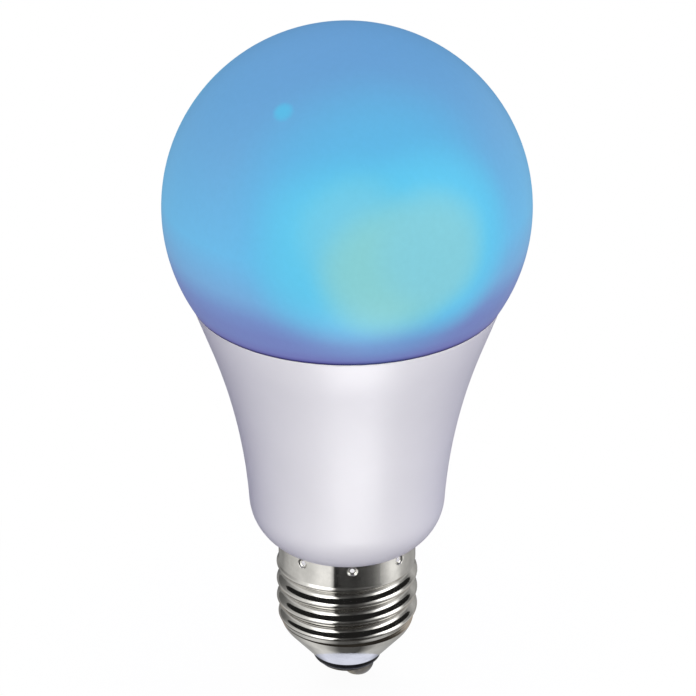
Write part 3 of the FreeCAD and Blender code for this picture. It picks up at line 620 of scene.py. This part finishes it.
def toward(azimuth, elevation):
    """The direction from the globe's centre; azimuth 0 is the front and 90 the right."""
    azimuth, elevation = math.radians(azimuth), math.radians(elevation)
    level = math.cos(elevation)
    return level * math.sin(azimuth), -level * math.cos(azimuth), math.sin(elevation)


# the glow's colour by height from the seam up; its lowest stops are a painted shadow line right at the seam
GLOW_AND_SEAM_SHADOW_BY_HEIGHT = [
    (0.0, linear(12, 8, 82)),
    (0.008, linear(26, 22, 96)),
    (0.013, linear(88, 88, 160)),
    (0.025, linear(107, 114, 180)),
    (0.06, linear(111, 127, 189)),
    (0.1, linear(112, 129, 191)),
    (0.16, linear(114, 141, 200)),
    (0.25, linear(117, 172, 221)),
    (0.4, linear(108, 189, 235)),
    (0.7, linear(110, 174, 222)),
    (1.0, linear(105, 162, 214)),
]
# azimuth, elevation, the angles at which a zone is full and where it ends, and its colour
GLOW_ZONES = [
    (10.4, 19.5, 0.5, 57, linear(95, 184, 230)),
    (30, 11, 0.5, 36.5, linear(97, 203, 241)),
    (0, 10.5, 0.5, 37, linear(95, 200, 236)),
    (3, 15, 0.5, 24, linear(112, 201, 228)),
    (12, 2.5, 0.5, 27, linear(134, 206, 210)),
    (28, 8.7, 0.5, 24, linear(131, 206, 220)),
    (164, 15, 0.5, 44, linear(104, 204, 238)),
    (152, 4, 0.5, 28, linear(131, 206, 216)),
    (-131, 17, 0.5, 41, linear(102, 202, 238)),
    (-140, 3, 0.5, 27, linear(129, 206, 218)),
]
# a small painted highlight, a paler spot high on the left, written in the same way
PAINTED_HIGHLIGHT_SPOT = (-32.5, 51.8, 0.2, 4.2, linear(92, 190, 232))
# the share of the colour that is given out as light, its fine grain, and how far the zones wander
GLOW_SHARE = 0.8
GLOW_GRAIN = 0.03
GLOW_WANDER = 0.1


def globe_zone(nodes, links, direction, azimuth, elevation, core, edge):
    """A soft round zone on the globe: 1 within the core angle, 0 beyond the edge angle."""
    middle = toward(azimuth, elevation)
    nearness = vector_math(nodes, links, "DOT_PRODUCT", direction, middle, output="Value")
    core, edge = math.cos(math.radians(core)), math.cos(math.radians(edge))
    return spread(nodes, links, nearness, 0.0, 1.0, edge, core, "SMOOTHERSTEP")


def opal_glow():
    """Opal plastic lit from inside: blue above, violet at the seam, cyan and pale green low down, with a
    painted shadow line right at the seam and a small painted highlight high on the left.
    """
    material, nodes, links, shader, place = new_finish("opal_glow")
    unit = 1 / (GLOBE_RADIUS * MM)
    lowered = (0, 0, -globe_centre / GLOBE_RADIUS)
    centred = mapped(nodes, links, place, Location=lowered, Scale=(unit, unit, unit))
    wander = nodes.new("ShaderNodeTexNoise")
    wander.inputs["Scale"].default_value = 1.6
    wander.inputs["Detail"].default_value = 1.0
    links.new(centred, wander.inputs["Vector"])
    reach, back = (GLOW_WANDER,) * 3, (-GLOW_WANDER / 2,) * 3
    drift = vector_math(nodes, links, "MULTIPLY_ADD", wander.outputs["Color"], reach, back)
    shifted = vector_math(nodes, links, "ADD", centred, drift)
    direction = vector_math(nodes, links, "NORMALIZE", shifted)
    seam = -math.sin(math.radians(SEAM_ANGLE))
    rise = spread(nodes, links, one_axis(nodes, links, centred, "Z"), 0.0, 1.0, seam, 1.0)
    # painted shadow: the ramp is darkest right at the seam
    colour = ramp(nodes, links, rise, GLOW_AND_SEAM_SHADOW_BY_HEIGHT)
    for *zone, tint in GLOW_ZONES:
        colour = blended(nodes, links, globe_zone(nodes, links, direction, *zone), colour, tint)
    # painted highlight: a small paler spot blended over the glow high on the left
    *spot, tint = PAINTED_HIGHLIGHT_SPOT
    colour = blended(nodes, links, globe_zone(nodes, links, centred, *spot), colour, tint)
    grain = noise(nodes, links, place, scale=900.0)
    shade = spread(nodes, links, grain, 1 - GLOW_GRAIN, 1 + GLOW_GRAIN)
    colour = blended(nodes, links, 1.0, colour, grey(nodes, links, shade), "MULTIPLY")
    surface = blended(nodes, links, 1.0, colour, (1 - GLOW_SHARE,) * 3, "MULTIPLY")
    links.new(surface, shader.inputs["Base Color"])
    links.new(colour, shader.inputs["Emission Color"])
    shader.inputs["Emission Strength"].default_value = GLOW_SHARE
    shader.inputs["Specular IOR Level"].default_value = 0.1
    dullness = noise(nodes, links, place, scale=400.0)
    links.new(spread(nodes, links, dullness, 0.5, 0.62), shader.inputs["Roughness"])
    shader.inputs["Coat Weight"].default_value = 1.0
    shader.inputs["Coat IOR"].default_value = 1.18
    shader.inputs["Coat Roughness"].default_value = 0.4
    bumped(nodes, links, shader, noise(nodes, links, place, scale=3000.0, detail=3.0), strength=0.04)
    return material


def satin_white():
    """Moulded white plastic with a fine spark-eroded grain."""
    material, nodes, links, shader, place = new_finish("satin_white")
    tone = noise(nodes, links, place, scale=60.0, detail=3.0)
    colour = mottled(nodes, links, tone, (0.81, 0.81, 0.825), (0.845, 0.845, 0.86))
    links.new(colour, shader.inputs["Base Color"])
    dullness = noise(nodes, links, place, scale=700.0)
    links.new(spread(nodes, links, dullness, 0.36, 0.46), shader.inputs["Roughness"])
    bumped(nodes, links, shader, noise(nodes, links, place, scale=4200.0, detail=3.0), strength=0.05)
    return material


def metal(name, colour, roughness, lines, depth=0.02):
    """Plated or drawn metal: fine lines round the axis, uneven sheen and a little tarnish."""
    material, nodes, links, shader, place = new_finish(name)
    shader.inputs["Metallic"].default_value = 1.0
    tarnish = noise(nodes, links, place, scale=240.0, detail=4.0, roughness=0.6)
    dark = tuple(channel * TARNISH for channel in colour)
    links.new(ramp(nodes, links, tarnish, [(0.35, dark), (0.65, colour)]), shader.inputs["Base Color"])
    along = lines * LINE_STRETCH
    level = mapped(nodes, links, place, Scale=(along, along, lines))
    drawn = noise(nodes, links, level, scale=1.0, detail=3.0, roughness=0.6)
    bright, dull = roughness * BRIGHT_SHARE, roughness * DULL_SHARE
    sheen = spread(nodes, links, drawn, bright, dull, MOTTLE_LOW, MOTTLE_HIGH)
    links.new(sheen, shader.inputs["Roughness"])
    bumped(nodes, links, shader, drawn, depth)
    return material


def bright_nickel():
    """Nickel plate, with a painted shade line where the sheet is rolled in over the glass."""
    material = metal("bright_nickel", (0.8, 0.785, 0.75), roughness=0.085, lines=5000.0)
    nodes, links = material.node_tree.nodes, material.node_tree.links
    base = nodes["Principled BSDF"].inputs["Base Color"]
    plate = base.links[0].from_socket
    place = nodes.new("ShaderNodeTexCoord")
    height = one_axis(nodes, links, place.outputs["Object"], "Z")
    line_top = lip_height + LIP_LINE
    fade_top = line_top + LIP_FADE
    unshaded = spread(nodes, links, height, 0.0, 1.0, line_top * MM, fade_top * MM, "SMOOTHSTEP")
    # painted shade: the plate darkens to a near-black line at its foot, by the lip
    links.new(blended(nodes, links, unshaded, LIP_PAINTED_SHADE, plate), base)
    return material


def moulded(name, colour, roughness, grain=900.0, coat=0.0):
    """Moulded or dipped material: slightly uneven colour, a fine grain and, where it is glossy, a coat."""
    material, nodes, links, shader, place = new_finish(name)
    tone = noise(nodes, links, place, scale=grain * 0.3, detail=3.0)
    dark = tuple(channel * (1 - UNEVEN_COLOUR) for channel in colour)
    light = tuple(min(channel * (1 + UNEVEN_COLOUR), 1) for channel in colour)
    links.new(mottled(nodes, links, tone, dark, light), shader.inputs["Base Color"])
    fine = noise(nodes, links, place, scale=grain * 3)
    bright, dull = roughness * (1 - UNEVEN_SHEEN), roughness * (1 + UNEVEN_SHEEN)
    links.new(spread(nodes, links, fine, bright, dull), shader.inputs["Roughness"])
    shader.inputs["Coat Weight"].default_value = coat
    bumped(nodes, links, shader, fine, strength=0.06)
    return material


def laminate(name, mask, copper):
    """A circuit board: fields of solder mask with tracks between them, square to each other."""
    material, nodes, links, shader, place = new_finish(name)
    tracks = nodes.new("ShaderNodeTexBrick")
    tracks.offset = TRACK_OFFSET
    tracks.inputs["Scale"].default_value = 1.0
    tracks.inputs["Brick Width"].default_value = TRACK_LENGTH * MM
    tracks.inputs["Row Height"].default_value = TRACK_PITCH * MM
    tracks.inputs["Mortar Size"].default_value = TRACK_WIDTH * MM
    tracks.inputs["Color1"].default_value = (*mask, 1)
    tracks.inputs["Color2"].default_value = (*[channel * 0.9 for channel in mask], 1)
    tracks.inputs["Mortar"].default_value = (*copper, 1)
    upright = mapped(nodes, links, place, Rotation=(math.radians(90), 0, 0))
    links.new(upright, tracks.inputs["Vector"])
    weave = noise(nodes, links, place, scale=1800.0)
    colour = blended(nodes, links, 0.12, tracks.outputs["Color"], grey(nodes, links, weave), "OVERLAY")
    links.new(colour, shader.inputs["Base Color"])
    links.new(spread(nodes, links, weave, 0.32, 0.45), shader.inputs["Roughness"])
    bumped(nodes, links, shader, tracks.outputs["Fac"], strength=0.3, distance=TRACK_BUMP)
    return material


def wound_tape():
    """Polyester tape in turns over a winding."""
    material, nodes, links, shader, place = new_finish("wound_tape")
    turns = nodes.new("ShaderNodeTexWave")
    turns.wave_type = "BANDS"
    turns.bands_direction = "Z"
    turns.inputs["Scale"].default_value = 180.0
    turns.inputs["Distortion"].default_value = 1.5
    links.new(place, turns.inputs["Vector"])
    ambers = [(0.2, (0.52, 0.36, 0.05)), (0.8, (0.78, 0.6, 0.12))]
    links.new(ramp(nodes, links, turns.outputs["Fac"], ambers), shader.inputs["Base Color"])
    shader.inputs["Roughness"].default_value = 0.28
    bumped(nodes, links, shader, turns.outputs["Fac"], strength=0.35)
    return material


def fired_ferrite():
    """Ground ferrite, dark with fine pores."""
    material, nodes, links, shader, place = new_finish("fired_ferrite")
    pores = nodes.new("ShaderNodeTexVoronoi")
    pores.inputs["Scale"].default_value = 2600.0
    links.new(place, pores.inputs["Vector"])
    greys = [(0.1, (0.012, 0.012, 0.013)), (0.5, (0.05, 0.05, 0.052))]
    links.new(ramp(nodes, links, pores.outputs["Distance"], greys), shader.inputs["Base Color"])
    shader.inputs["Roughness"].default_value = 0.55
    bumped(nodes, links, shader, pores.outputs["Distance"], strength=0.2)
    return material


def can_sleeve():
    """Shrink sleeve on a can, with a paler stripe down one side."""
    material, nodes, links, shader, place = new_finish("can_sleeve")
    across = one_axis(nodes, links, place, "X")
    stripe = spread(nodes, links, across, 0.0, 1.0, STRIPE_EDGE * MM, STRIPE_FULL * MM)
    mottle = noise(nodes, links, place, scale=500.0)
    sleeve = mottled(nodes, links, mottle, (0.008, 0.012, 0.03), (0.016, 0.022, 0.05))
    links.new(blended(nodes, links, stripe, sleeve, (0.35, 0.37, 0.42)), shader.inputs["Base Color"])
    shader.inputs["Roughness"].default_value = 0.25
    shader.inputs["Coat Weight"].default_value = 0.4
    bumped(nodes, links, shader, mottle, strength=0.1)
    return material


def black_glass():
    """Fused black glass with faint flow marks."""
    material, nodes, links, shader, place = new_finish("black_glass_bead")
    flow = noise(nodes, links, place, scale=350.0, detail=3.0)
    colour = mottled(nodes, links, flow, (0.004, 0.004, 0.006), (0.012, 0.012, 0.015))
    links.new(colour, shader.inputs["Base Color"])
    shader.inputs["Roughness"].default_value = 0.35
    shader.inputs["Specular IOR Level"].default_value = 0.12
    bumped(nodes, links, shader, flow, strength=0.12, distance=FLOW_BUMP)
    return material


def dull_solder():
    """Cooled solder: dull, wrinkled, with painted shade darkening its hollows."""
    material, nodes, links, shader, place = new_finish("dull_solder")
    shader.inputs["Metallic"].default_value = 1.0
    wrinkle = noise(nodes, links, place, scale=700.0, detail=5.0, roughness=0.65)
    # painted shade: the solder darkens where the wrinkles sink
    colour = mottled(nodes, links, wrinkle, (0.1, 0.088, 0.065), (0.26, 0.235, 0.185))
    links.new(colour, shader.inputs["Base Color"])
    links.new(spread(nodes, links, wrinkle, 0.25, 0.5), shader.inputs["Roughness"])
    bumped(nodes, links, shader, wrinkle, strength=0.5, distance=WRINKLE_BUMP)
    return material


def packed_diode(name, resin):
    """The resin of a diode's package, a little uneven under a thin gloss."""
    material, nodes, links, shader, place = new_finish(name)
    cells = noise(nodes, links, place, scale=1500.0)
    shaded = tuple(channel * 0.9 for channel in resin)
    links.new(mottled(nodes, links, cells, shaded, resin), shader.inputs["Base Color"])
    shader.inputs["Roughness"].default_value = 0.3
    shader.inputs["Coat Weight"].default_value = 0.3
    bumped(nodes, links, shader, cells, strength=0.1)
    return material


def finish_cad_nodes():
    """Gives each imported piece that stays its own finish."""
    sleeve = can_sleeve()
    finishes = {
        "seal_bead": moulded("silicone_bead", (0.72, 0.72, 0.73), 0.45, grain=600.0),
        "heat_sink": metal("spun_aluminium", (0.75, 0.76, 0.78), 0.3, lines=9000.0, depth=0.08),
        "led_board": laminate("white_board", mask=(0.82, 0.82, 0.8), copper=(0.7, 0.69, 0.66)),
        "board_screws": metal("zinc_plated", (0.66, 0.67, 0.66), 0.25, lines=6000.0, depth=0.1),
        "white_emitters": packed_diode("phosphor_window", (0.85, 0.68, 0.2)),
        "colour_emitters": packed_diode("clear_window", (0.62, 0.66, 0.7)),
        "board_socket": moulded("socket_moulding", (0.74, 0.72, 0.66), 0.4),
        "header_pins": metal("plated_pins", (0.82, 0.66, 0.32), 0.18, lines=5000.0),
        "header_strip": moulded("strip_moulding", (0.02, 0.02, 0.02), 0.45),
        "driver_board": laminate("green_board", mask=(0.02, 0.13, 0.045), copper=(0.05, 0.22, 0.08)),
        "transformer_core": fired_ferrite(),
        "transformer_winding": wound_tape(),
        "bulk_capacitor": sleeve,
        "filter_capacitor": sleeve,
        "choke": moulded("choke_sleeve", (0.02, 0.02, 0.02), 0.3, grain=500.0, coat=0.4),
        "film_capacitor": moulded("dipped_epoxy", (0.36, 0.06, 0.02), 0.22, grain=400.0, coat=0.6),
        "driver_chip": moulded("chip_moulding", (0.018, 0.018, 0.02), 0.5, grain=1800.0),
        "bridge_rectifier": moulded("bridge_moulding", (0.02, 0.02, 0.021), 0.5, grain=1800.0),
        "fuse_resistor": moulded("resistor_lacquer", (0.08, 0.16, 0.24), 0.4, grain=700.0, coat=0.2),
        "radio_board": laminate("blue_board", mask=(0.015, 0.04, 0.16), copper=(0.03, 0.09, 0.28)),
        "radio_lid": metal("tinned_lid", (0.7, 0.7, 0.67), 0.22, lines=4000.0),
        "live_lead": moulded("live_insulation", (0.45, 0.02, 0.015), 0.35, grain=1200.0),
        "neutral_lead": moulded("neutral_insulation", (0.015, 0.015, 0.018), 0.35, grain=1200.0),
        "centre_contact": metal("dulled_brass", (0.13, 0.115, 0.085), 0.42, lines=3000.0, depth=0.1),
    }
    for name, finish in finishes.items():
        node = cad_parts[name]
        node.data.materials.clear()
        node.data.materials.append(finish)


def dress(piece, finish, node):
    """Gives a new piece its finish and its place on the lamp, and hides the node that it stands for."""
    piece.data.materials.clear()
    piece.data.materials.append(finish)
    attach(piece, "root")
    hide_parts(node)


# camera: degrees, millimetres, and pixels of the photograph's frame
CAMERA_ELEVATION = 26.7
CAMERA_DISTANCE = 850.0
CAMERA_AIM = 68.14
SENSOR = 36.0
LENS = 240.1
PICTURE = 696
AXIS_PIXEL = 347
# the nearest and the furthest thing that the camera sees, in metres
CLIP_START = 0.01
CLIP_END = 50

# floor: size and reach of the shadow in metres, colour, tint of bounced light, share of white by the lamp
FLOOR_SIZE = 12.0
SHADOW_REACH = 0.015
SHADOW_END = 0.09
FLOOR_COLOUR = (0.95, 0.95, 0.95)
FLOOR_BOUNCE = (0.25, 0.245, 0.34)
FLOOR_WHITENESS = 0.95

# soft boxes: name, azimuth, elevation, distance and size in metres, power, colour
LIGHTS = [
    ("front_light", 1, 19, 1.1, 0.5, 9.3, (1.0, 0.985, 0.85)),
    ("right_fill", 115, 20, 1.1, 0.7, 3.6, (0.95, 0.94, 1.0)),
    ("rear_light", 195, 30, 1.1, 0.7, 8.0, (1.0, 0.99, 1.0)),
    ("top_light", 0, 85, 1.0, 0.8, 2.0, (1.0, 1.0, 1.0)),
]
LIGHT_AIM = 65
WORLD_TINT = (0.58, 0.56, 1.0)
WORLD_LEVEL = 0.34


def seen_by_eye(nodes, links):
    """1 for what the eye sees, also in polished metal and through glass."""
    path = nodes.new("ShaderNodeLightPath")
    seen = path.outputs["Is Camera Ray"]
    for kind in ("Is Glossy Ray", "Is Transmission Ray"):
        seen = value_math(nodes, links, "MAXIMUM", seen, path.outputs[kind])
    return seen


def floor_finish():
    """Pale floor: white to the eye, with a faint shadow that fades away from the lamp."""
    material, nodes, links, shader, place = new_finish("pale_floor")
    bounced = nodes.new("ShaderNodeLightPath").outputs["Is Diffuse Ray"]
    colour = blended(nodes, links, bounced, FLOOR_COLOUR, FLOOR_BOUNCE)
    links.new(colour, shader.inputs["Base Color"])
    shader.inputs["Roughness"].default_value = 0.9
    shader.inputs["Specular IOR Level"].default_value = 0.0
    white = nodes.new("ShaderNodeEmission")
    white.inputs["Strength"].default_value = 1.0
    away = vector_math(nodes, links, "LENGTH", place, output="Value")
    whiter = spread(nodes, links, away, FLOOR_WHITENESS, 1.0, SHADOW_REACH, SHADOW_END, "SMOOTHSTEP")
    share = value_math(nodes, links, "MULTIPLY", seen_by_eye(nodes, links), whiter)
    show_mixed(nodes, links, share, shader.outputs["BSDF"], white.outputs["Emission"], "Material Output")
    return material


def lay_floor():
    """A plain floor under the lamp's contact."""
    deselect()
    bpy.ops.mesh.primitive_plane_add(size=FLOOR_SIZE)
    floor = bpy.context.object
    floor.name = "floor"
    floor.data.materials.append(floor_finish())


# what the polished cap and the housing mirror: levels by azimuth, 0 the front, 90 the right, 180 the rear
WALL_LEVELS = [
    (-180, 0.06),
    (-160, 0.08),
    (-146, 0.12),
    (-126, 0.16),
    (-108, 0.36),
    (-86, 0.66),
    (-66, 1.0),
    (-50, 2.7),
    (-28, 2.8),
    (-17, 0.12),
    (8, 0.05),
    (24, 0.1),
    (40, 0.5),
    (54, 2.2),
    (78, 2.7),
    (97, 0.4),
    (114, 0.2),
    (132, 0.5),
    (150, 0.4),
    (158, 0.08),
    (180, 0.06),
]
FLOOR_LEVELS = [
    (-180, 0.04),
    (-158, 0.05),
    (-146, 0.28),
    (-124, 0.28),
    (-104, 0.55),
    (-86, 0.72),
    (-56, 0.82),
    (-40, 1.05),
    (-25, 0.98),
    (-17, 0.08),
    (8, 0.05),
    (24, 0.08),
    (40, 0.19),
    (56, 0.5),
    (72, 0.95),
    (82, 0.95),
    (94, 0.55),
    (122, 0.4),
    (146, 0.4),
    (158, 0.05),
    (180, 0.04),
]
NEAR_LEVELS = [
    (-180, 0.22),
    (-124, 0.4),
    (-104, 0.1),
    (-70, 0.03),
    (60, 0.03),
    (86, 0.12),
    (104, 0.42),
    (130, 0.45),
    (180, 0.22),
]
UNDER_LEVELS = [
    (-180, 0.34),
    (-90, 0.4),
    (-56, 0.75),
    (-36, 0.7),
    (-12, 0.12),
    (20, 0.08),
    (46, 0.55),
    (100, 0.4),
    (180, 0.34),
]
PALE_LEVELS = [
    (-180, 0.3),
    (-96, 0.32),
    (-56, 0.9),
    (64, 0.9),
    (100, 0.36),
    (180, 0.3),
]
LOW_LEVELS = [
    (-180, 0.01),
    (14, 0.012),
    (28, 0.05),
    (38, 0.12),
    (50, 0.3),
    (180, 0.34),
]
DOME_LEVELS = [
    (-180, 0.015),
    (180, 0.015),
]
SHEEN_LEVELS = [
    (-180, 1.0),
    (180, 1.0),
]
# the wall's top edge: azimuth and height; the dark dome shows above it
WALL_TOPS = [
    (-180, 310),
    (-113, 310),
    (-90, 465),
    (-72, 590),
    (-60, 680),
    (-40, 785),
    (40, 785),
    (60, 680),
    (72, 590),
    (90, 465),
    (113, 310),
    (180, 310),
]
# the dome's line of radius and height over the wall
DOME_LINE = [
    (920, -20),
    (920, 700),
    (700, 1100),
    (1, 1400),
]
# radii and heights of the cards, their tints, and the azimuths between which they hang
WALL_RADIUS = 900
NEAR_EDGE = 34
UNDER_EDGE = 19
PALE_EDGE = 7.2
FOOT_EDGE = 3.0
CARD_HEIGHT = 0.3
LOW_RADIUS = 46
LOW_FOOT = 0.2
LOW_TOP = 20
SHEEN_EDGES = (62, 120)
SHEEN_HEIGHT = 0.5
SHEEN_STRENGTH = 7.2
ROOM_TINT = (1.0, 0.995, 0.98)
PALE_TINT = (0.9, 0.94, 1.12)
WARM_TINT = (1.0, 0.87, 0.74)
ALL_ROUND = (-180, 180)
LOW_SPAN = (-19, 50)
SHEEN_SPAN = (-17, 34)
# how finely the cards are cut: degrees to a step, least steps, and the merging reach
WALL_TURN = 5
CARD_TURN = 4
CARD_STEPS = 12
CARD_MERGE_REACH = 0.01


def room_finish(name, levels, tint=ROOM_TINT, strength=1.0):
    """An even card whose level changes round the lamp."""
    material, nodes, links, shader, place = new_finish(name)
    nodes.remove(shader)
    around = nodes.new("ShaderNodeTexGradient")
    around.gradient_type = "RADIAL"
    quarter = mapped(nodes, links, place, Rotation=(0, 0, math.radians(90)))
    links.new(quarter, around.inputs["Vector"])
    stops = [(azimuth / 360 + 0.5, tuple(level * part for part in tint)) for azimuth, level in levels]
    light = nodes.new("ShaderNodeEmission")
    links.new(ramp(nodes, links, around.outputs["Fac"], stops), light.inputs["Color"])
    light.inputs["Strength"].default_value = strength
    links.new(light.outputs["Emission"], nodes["Material Output"].inputs["Surface"])
    return material


def hang(card, finish):
    """Finishes a card and leaves it to reflections alone."""
    bpy.ops.object.mode_set(mode="OBJECT")
    card.data.materials.clear()
    card.data.materials.append(finish)
    card.visible_camera = False
    card.visible_diffuse = False
    card.visible_transmission = False
    card.visible_shadow = False
    card.visible_volume_scatter = False


def card_round(name, line, span, finish):
    """A card turned about the lamp's axis from a line of radius and height, between two azimuths."""
    card = single_point(name)
    first, last = span
    angle = math.radians(first - 90)
    draw_along([(radius * math.cos(angle), radius * math.sin(angle), height) for radius, height in line])
    steps = max(CARD_STEPS, round((last - first) / CARD_TURN))
    bpy.ops.mesh.spin(steps=steps, angle=math.radians(first - last), center=(0, 0, 0), axis=(0, 0, 1))
    bpy.ops.mesh.select_all(action="SELECT")
    bpy.ops.mesh.remove_doubles(threshold=CARD_MERGE_REACH * MM)
    hang(card, finish)


def height_at(azimuth, stops):
    """The height between the two stops on either side of an azimuth."""
    for (first, low), (last, high) in zip(stops, stops[1:]):
        if azimuth <= last:
            return low + (high - low) * (azimuth - first) / (last - first)
    return stops[-1][1]


def stand_wall(finish):
    """The room's wall: its top edge drawn round the lamp, then drawn down past the floor."""
    card = single_point("room_wall")
    top_edge = []
    for azimuth in range(ALL_ROUND[0], ALL_ROUND[1] + WALL_TURN, WALL_TURN):
        corner = Vector(toward(azimuth, 0)) * WALL_RADIUS
        corner.z = height_at(azimuth, WALL_TOPS)
        top_edge.append(corner)
    draw_along(top_edge)
    bpy.ops.mesh.extrude_edges_move(TRANSFORM_OT_translate={"value": (0, 0, -WALL_RADIUS * MM)})
    hang(card, finish)


def hang_cards():
    """Cards that only reflections show: the room, rings on the floor, and one each for cap and housing."""
    stand_wall(room_finish("room_wall", WALL_LEVELS))
    card_round("room_dome", DOME_LINE, ALL_ROUND, room_finish("room_dome", DOME_LEVELS))
    rings = [
        ("room_floor", NEAR_EDGE, WALL_RADIUS, FLOOR_LEVELS, ROOM_TINT),
        ("near_card", UNDER_EDGE, NEAR_EDGE, NEAR_LEVELS, WARM_TINT),
        ("under_card", PALE_EDGE, UNDER_EDGE, UNDER_LEVELS, ROOM_TINT),
        ("pale_card", FOOT_EDGE, PALE_EDGE, PALE_LEVELS, PALE_TINT),
    ]
    for name, inner, outer, levels, tint in rings:
        line = [(inner, CARD_HEIGHT), (outer, CARD_HEIGHT)]
        card_round(name, line, ALL_ROUND, room_finish(name, levels, tint))
    upright = [(LOW_RADIUS, LOW_FOOT), (LOW_RADIUS, LOW_TOP)]
    card_round("low_card", upright, LOW_SPAN, room_finish("low_card", LOW_LEVELS))
    flat = [(radius, SHEEN_HEIGHT) for radius in SHEEN_EDGES]
    sheen = room_finish("sheen_card", SHEEN_LEVELS, strength=SHEEN_STRENGTH)
    card_round("housing_sheen", flat, SHEEN_SPAN, sheen)


def soft_light(name, azimuth, elevation, distance, size, power, colour):
    """A square soft box that faces the middle of the lamp and isn't mirrored."""
    target = Vector((0, 0, LIGHT_AIM * MM))
    place = target + Vector(toward(azimuth, elevation)) * distance
    deselect()
    bpy.ops.object.light_add(type="AREA", location=place)
    light = bpy.context.object
    light.name = name
    light.rotation_mode = "QUATERNION"
    light.rotation_quaternion = (place - target).to_track_quat("Z", "Y")
    light.data.shape = "SQUARE"
    light.data.size = size
    light.data.energy = power
    light.data.color = colour
    light.visible_glossy = False
    light.visible_camera = False


def light_studio():
    """Soft boxes, mirrored cards, a faint blue world and a white backdrop."""
    for light in LIGHTS:
        soft_light(*light)
    hang_cards()
    world = bpy.data.worlds.new("studio")
    bpy.context.scene.world = world
    world.use_nodes = True
    nodes, links = world.node_tree.nodes, world.node_tree.links
    around = nodes["Background"]
    around.inputs["Color"].default_value = (*WORLD_TINT, 1)
    around.inputs["Strength"].default_value = WORLD_LEVEL
    white = nodes.new("ShaderNodeBackground")
    white.inputs["Color"].default_value = (1, 1, 1, 1)
    backgrounds = around.outputs["Background"], white.outputs["Background"]
    show_mixed(nodes, links, seen_by_eye(nodes, links), *backgrounds, "World Output")


def place_camera():
    """The camera at the photograph's viewing angle."""
    elevation = math.radians(CAMERA_ELEVATION)
    back = Vector((0, -math.cos(elevation), math.sin(elevation)))
    aim = Vector((0, 0, CAMERA_AIM * MM))
    deselect()
    bpy.ops.object.camera_add(location=aim + back * CAMERA_DISTANCE * MM)
    camera = bpy.context.object
    camera.name = "camera"
    camera.rotation_mode = "QUATERNION"
    camera.rotation_quaternion = back.to_track_quat("Z", "Y")
    camera.data.sensor_width = SENSOR
    camera.data.lens = LENS
    camera.data.shift_x = (PICTURE / 2 - AXIS_PIXEL) / PICTURE
    camera.data.clip_start = CLIP_START
    camera.data.clip_end = CLIP_END
    bpy.context.scene.camera = camera


place_camera()
lay_floor()
light_studio()
dress(opal_globe(), opal_glow(), "diffuser_globe")
dress(waisted_housing(), satin_white(), "housing")
dress(rolled_shell(), bright_nickel(), "screw_shell")
dress(glass_bead(), black_glass(), "cap_insulator")
dress(solder_blob(), dull_solder(), "contact_solder")
finish_cad_nodes()

bpy.context.scene.view_settings.view_transform = "Standard"
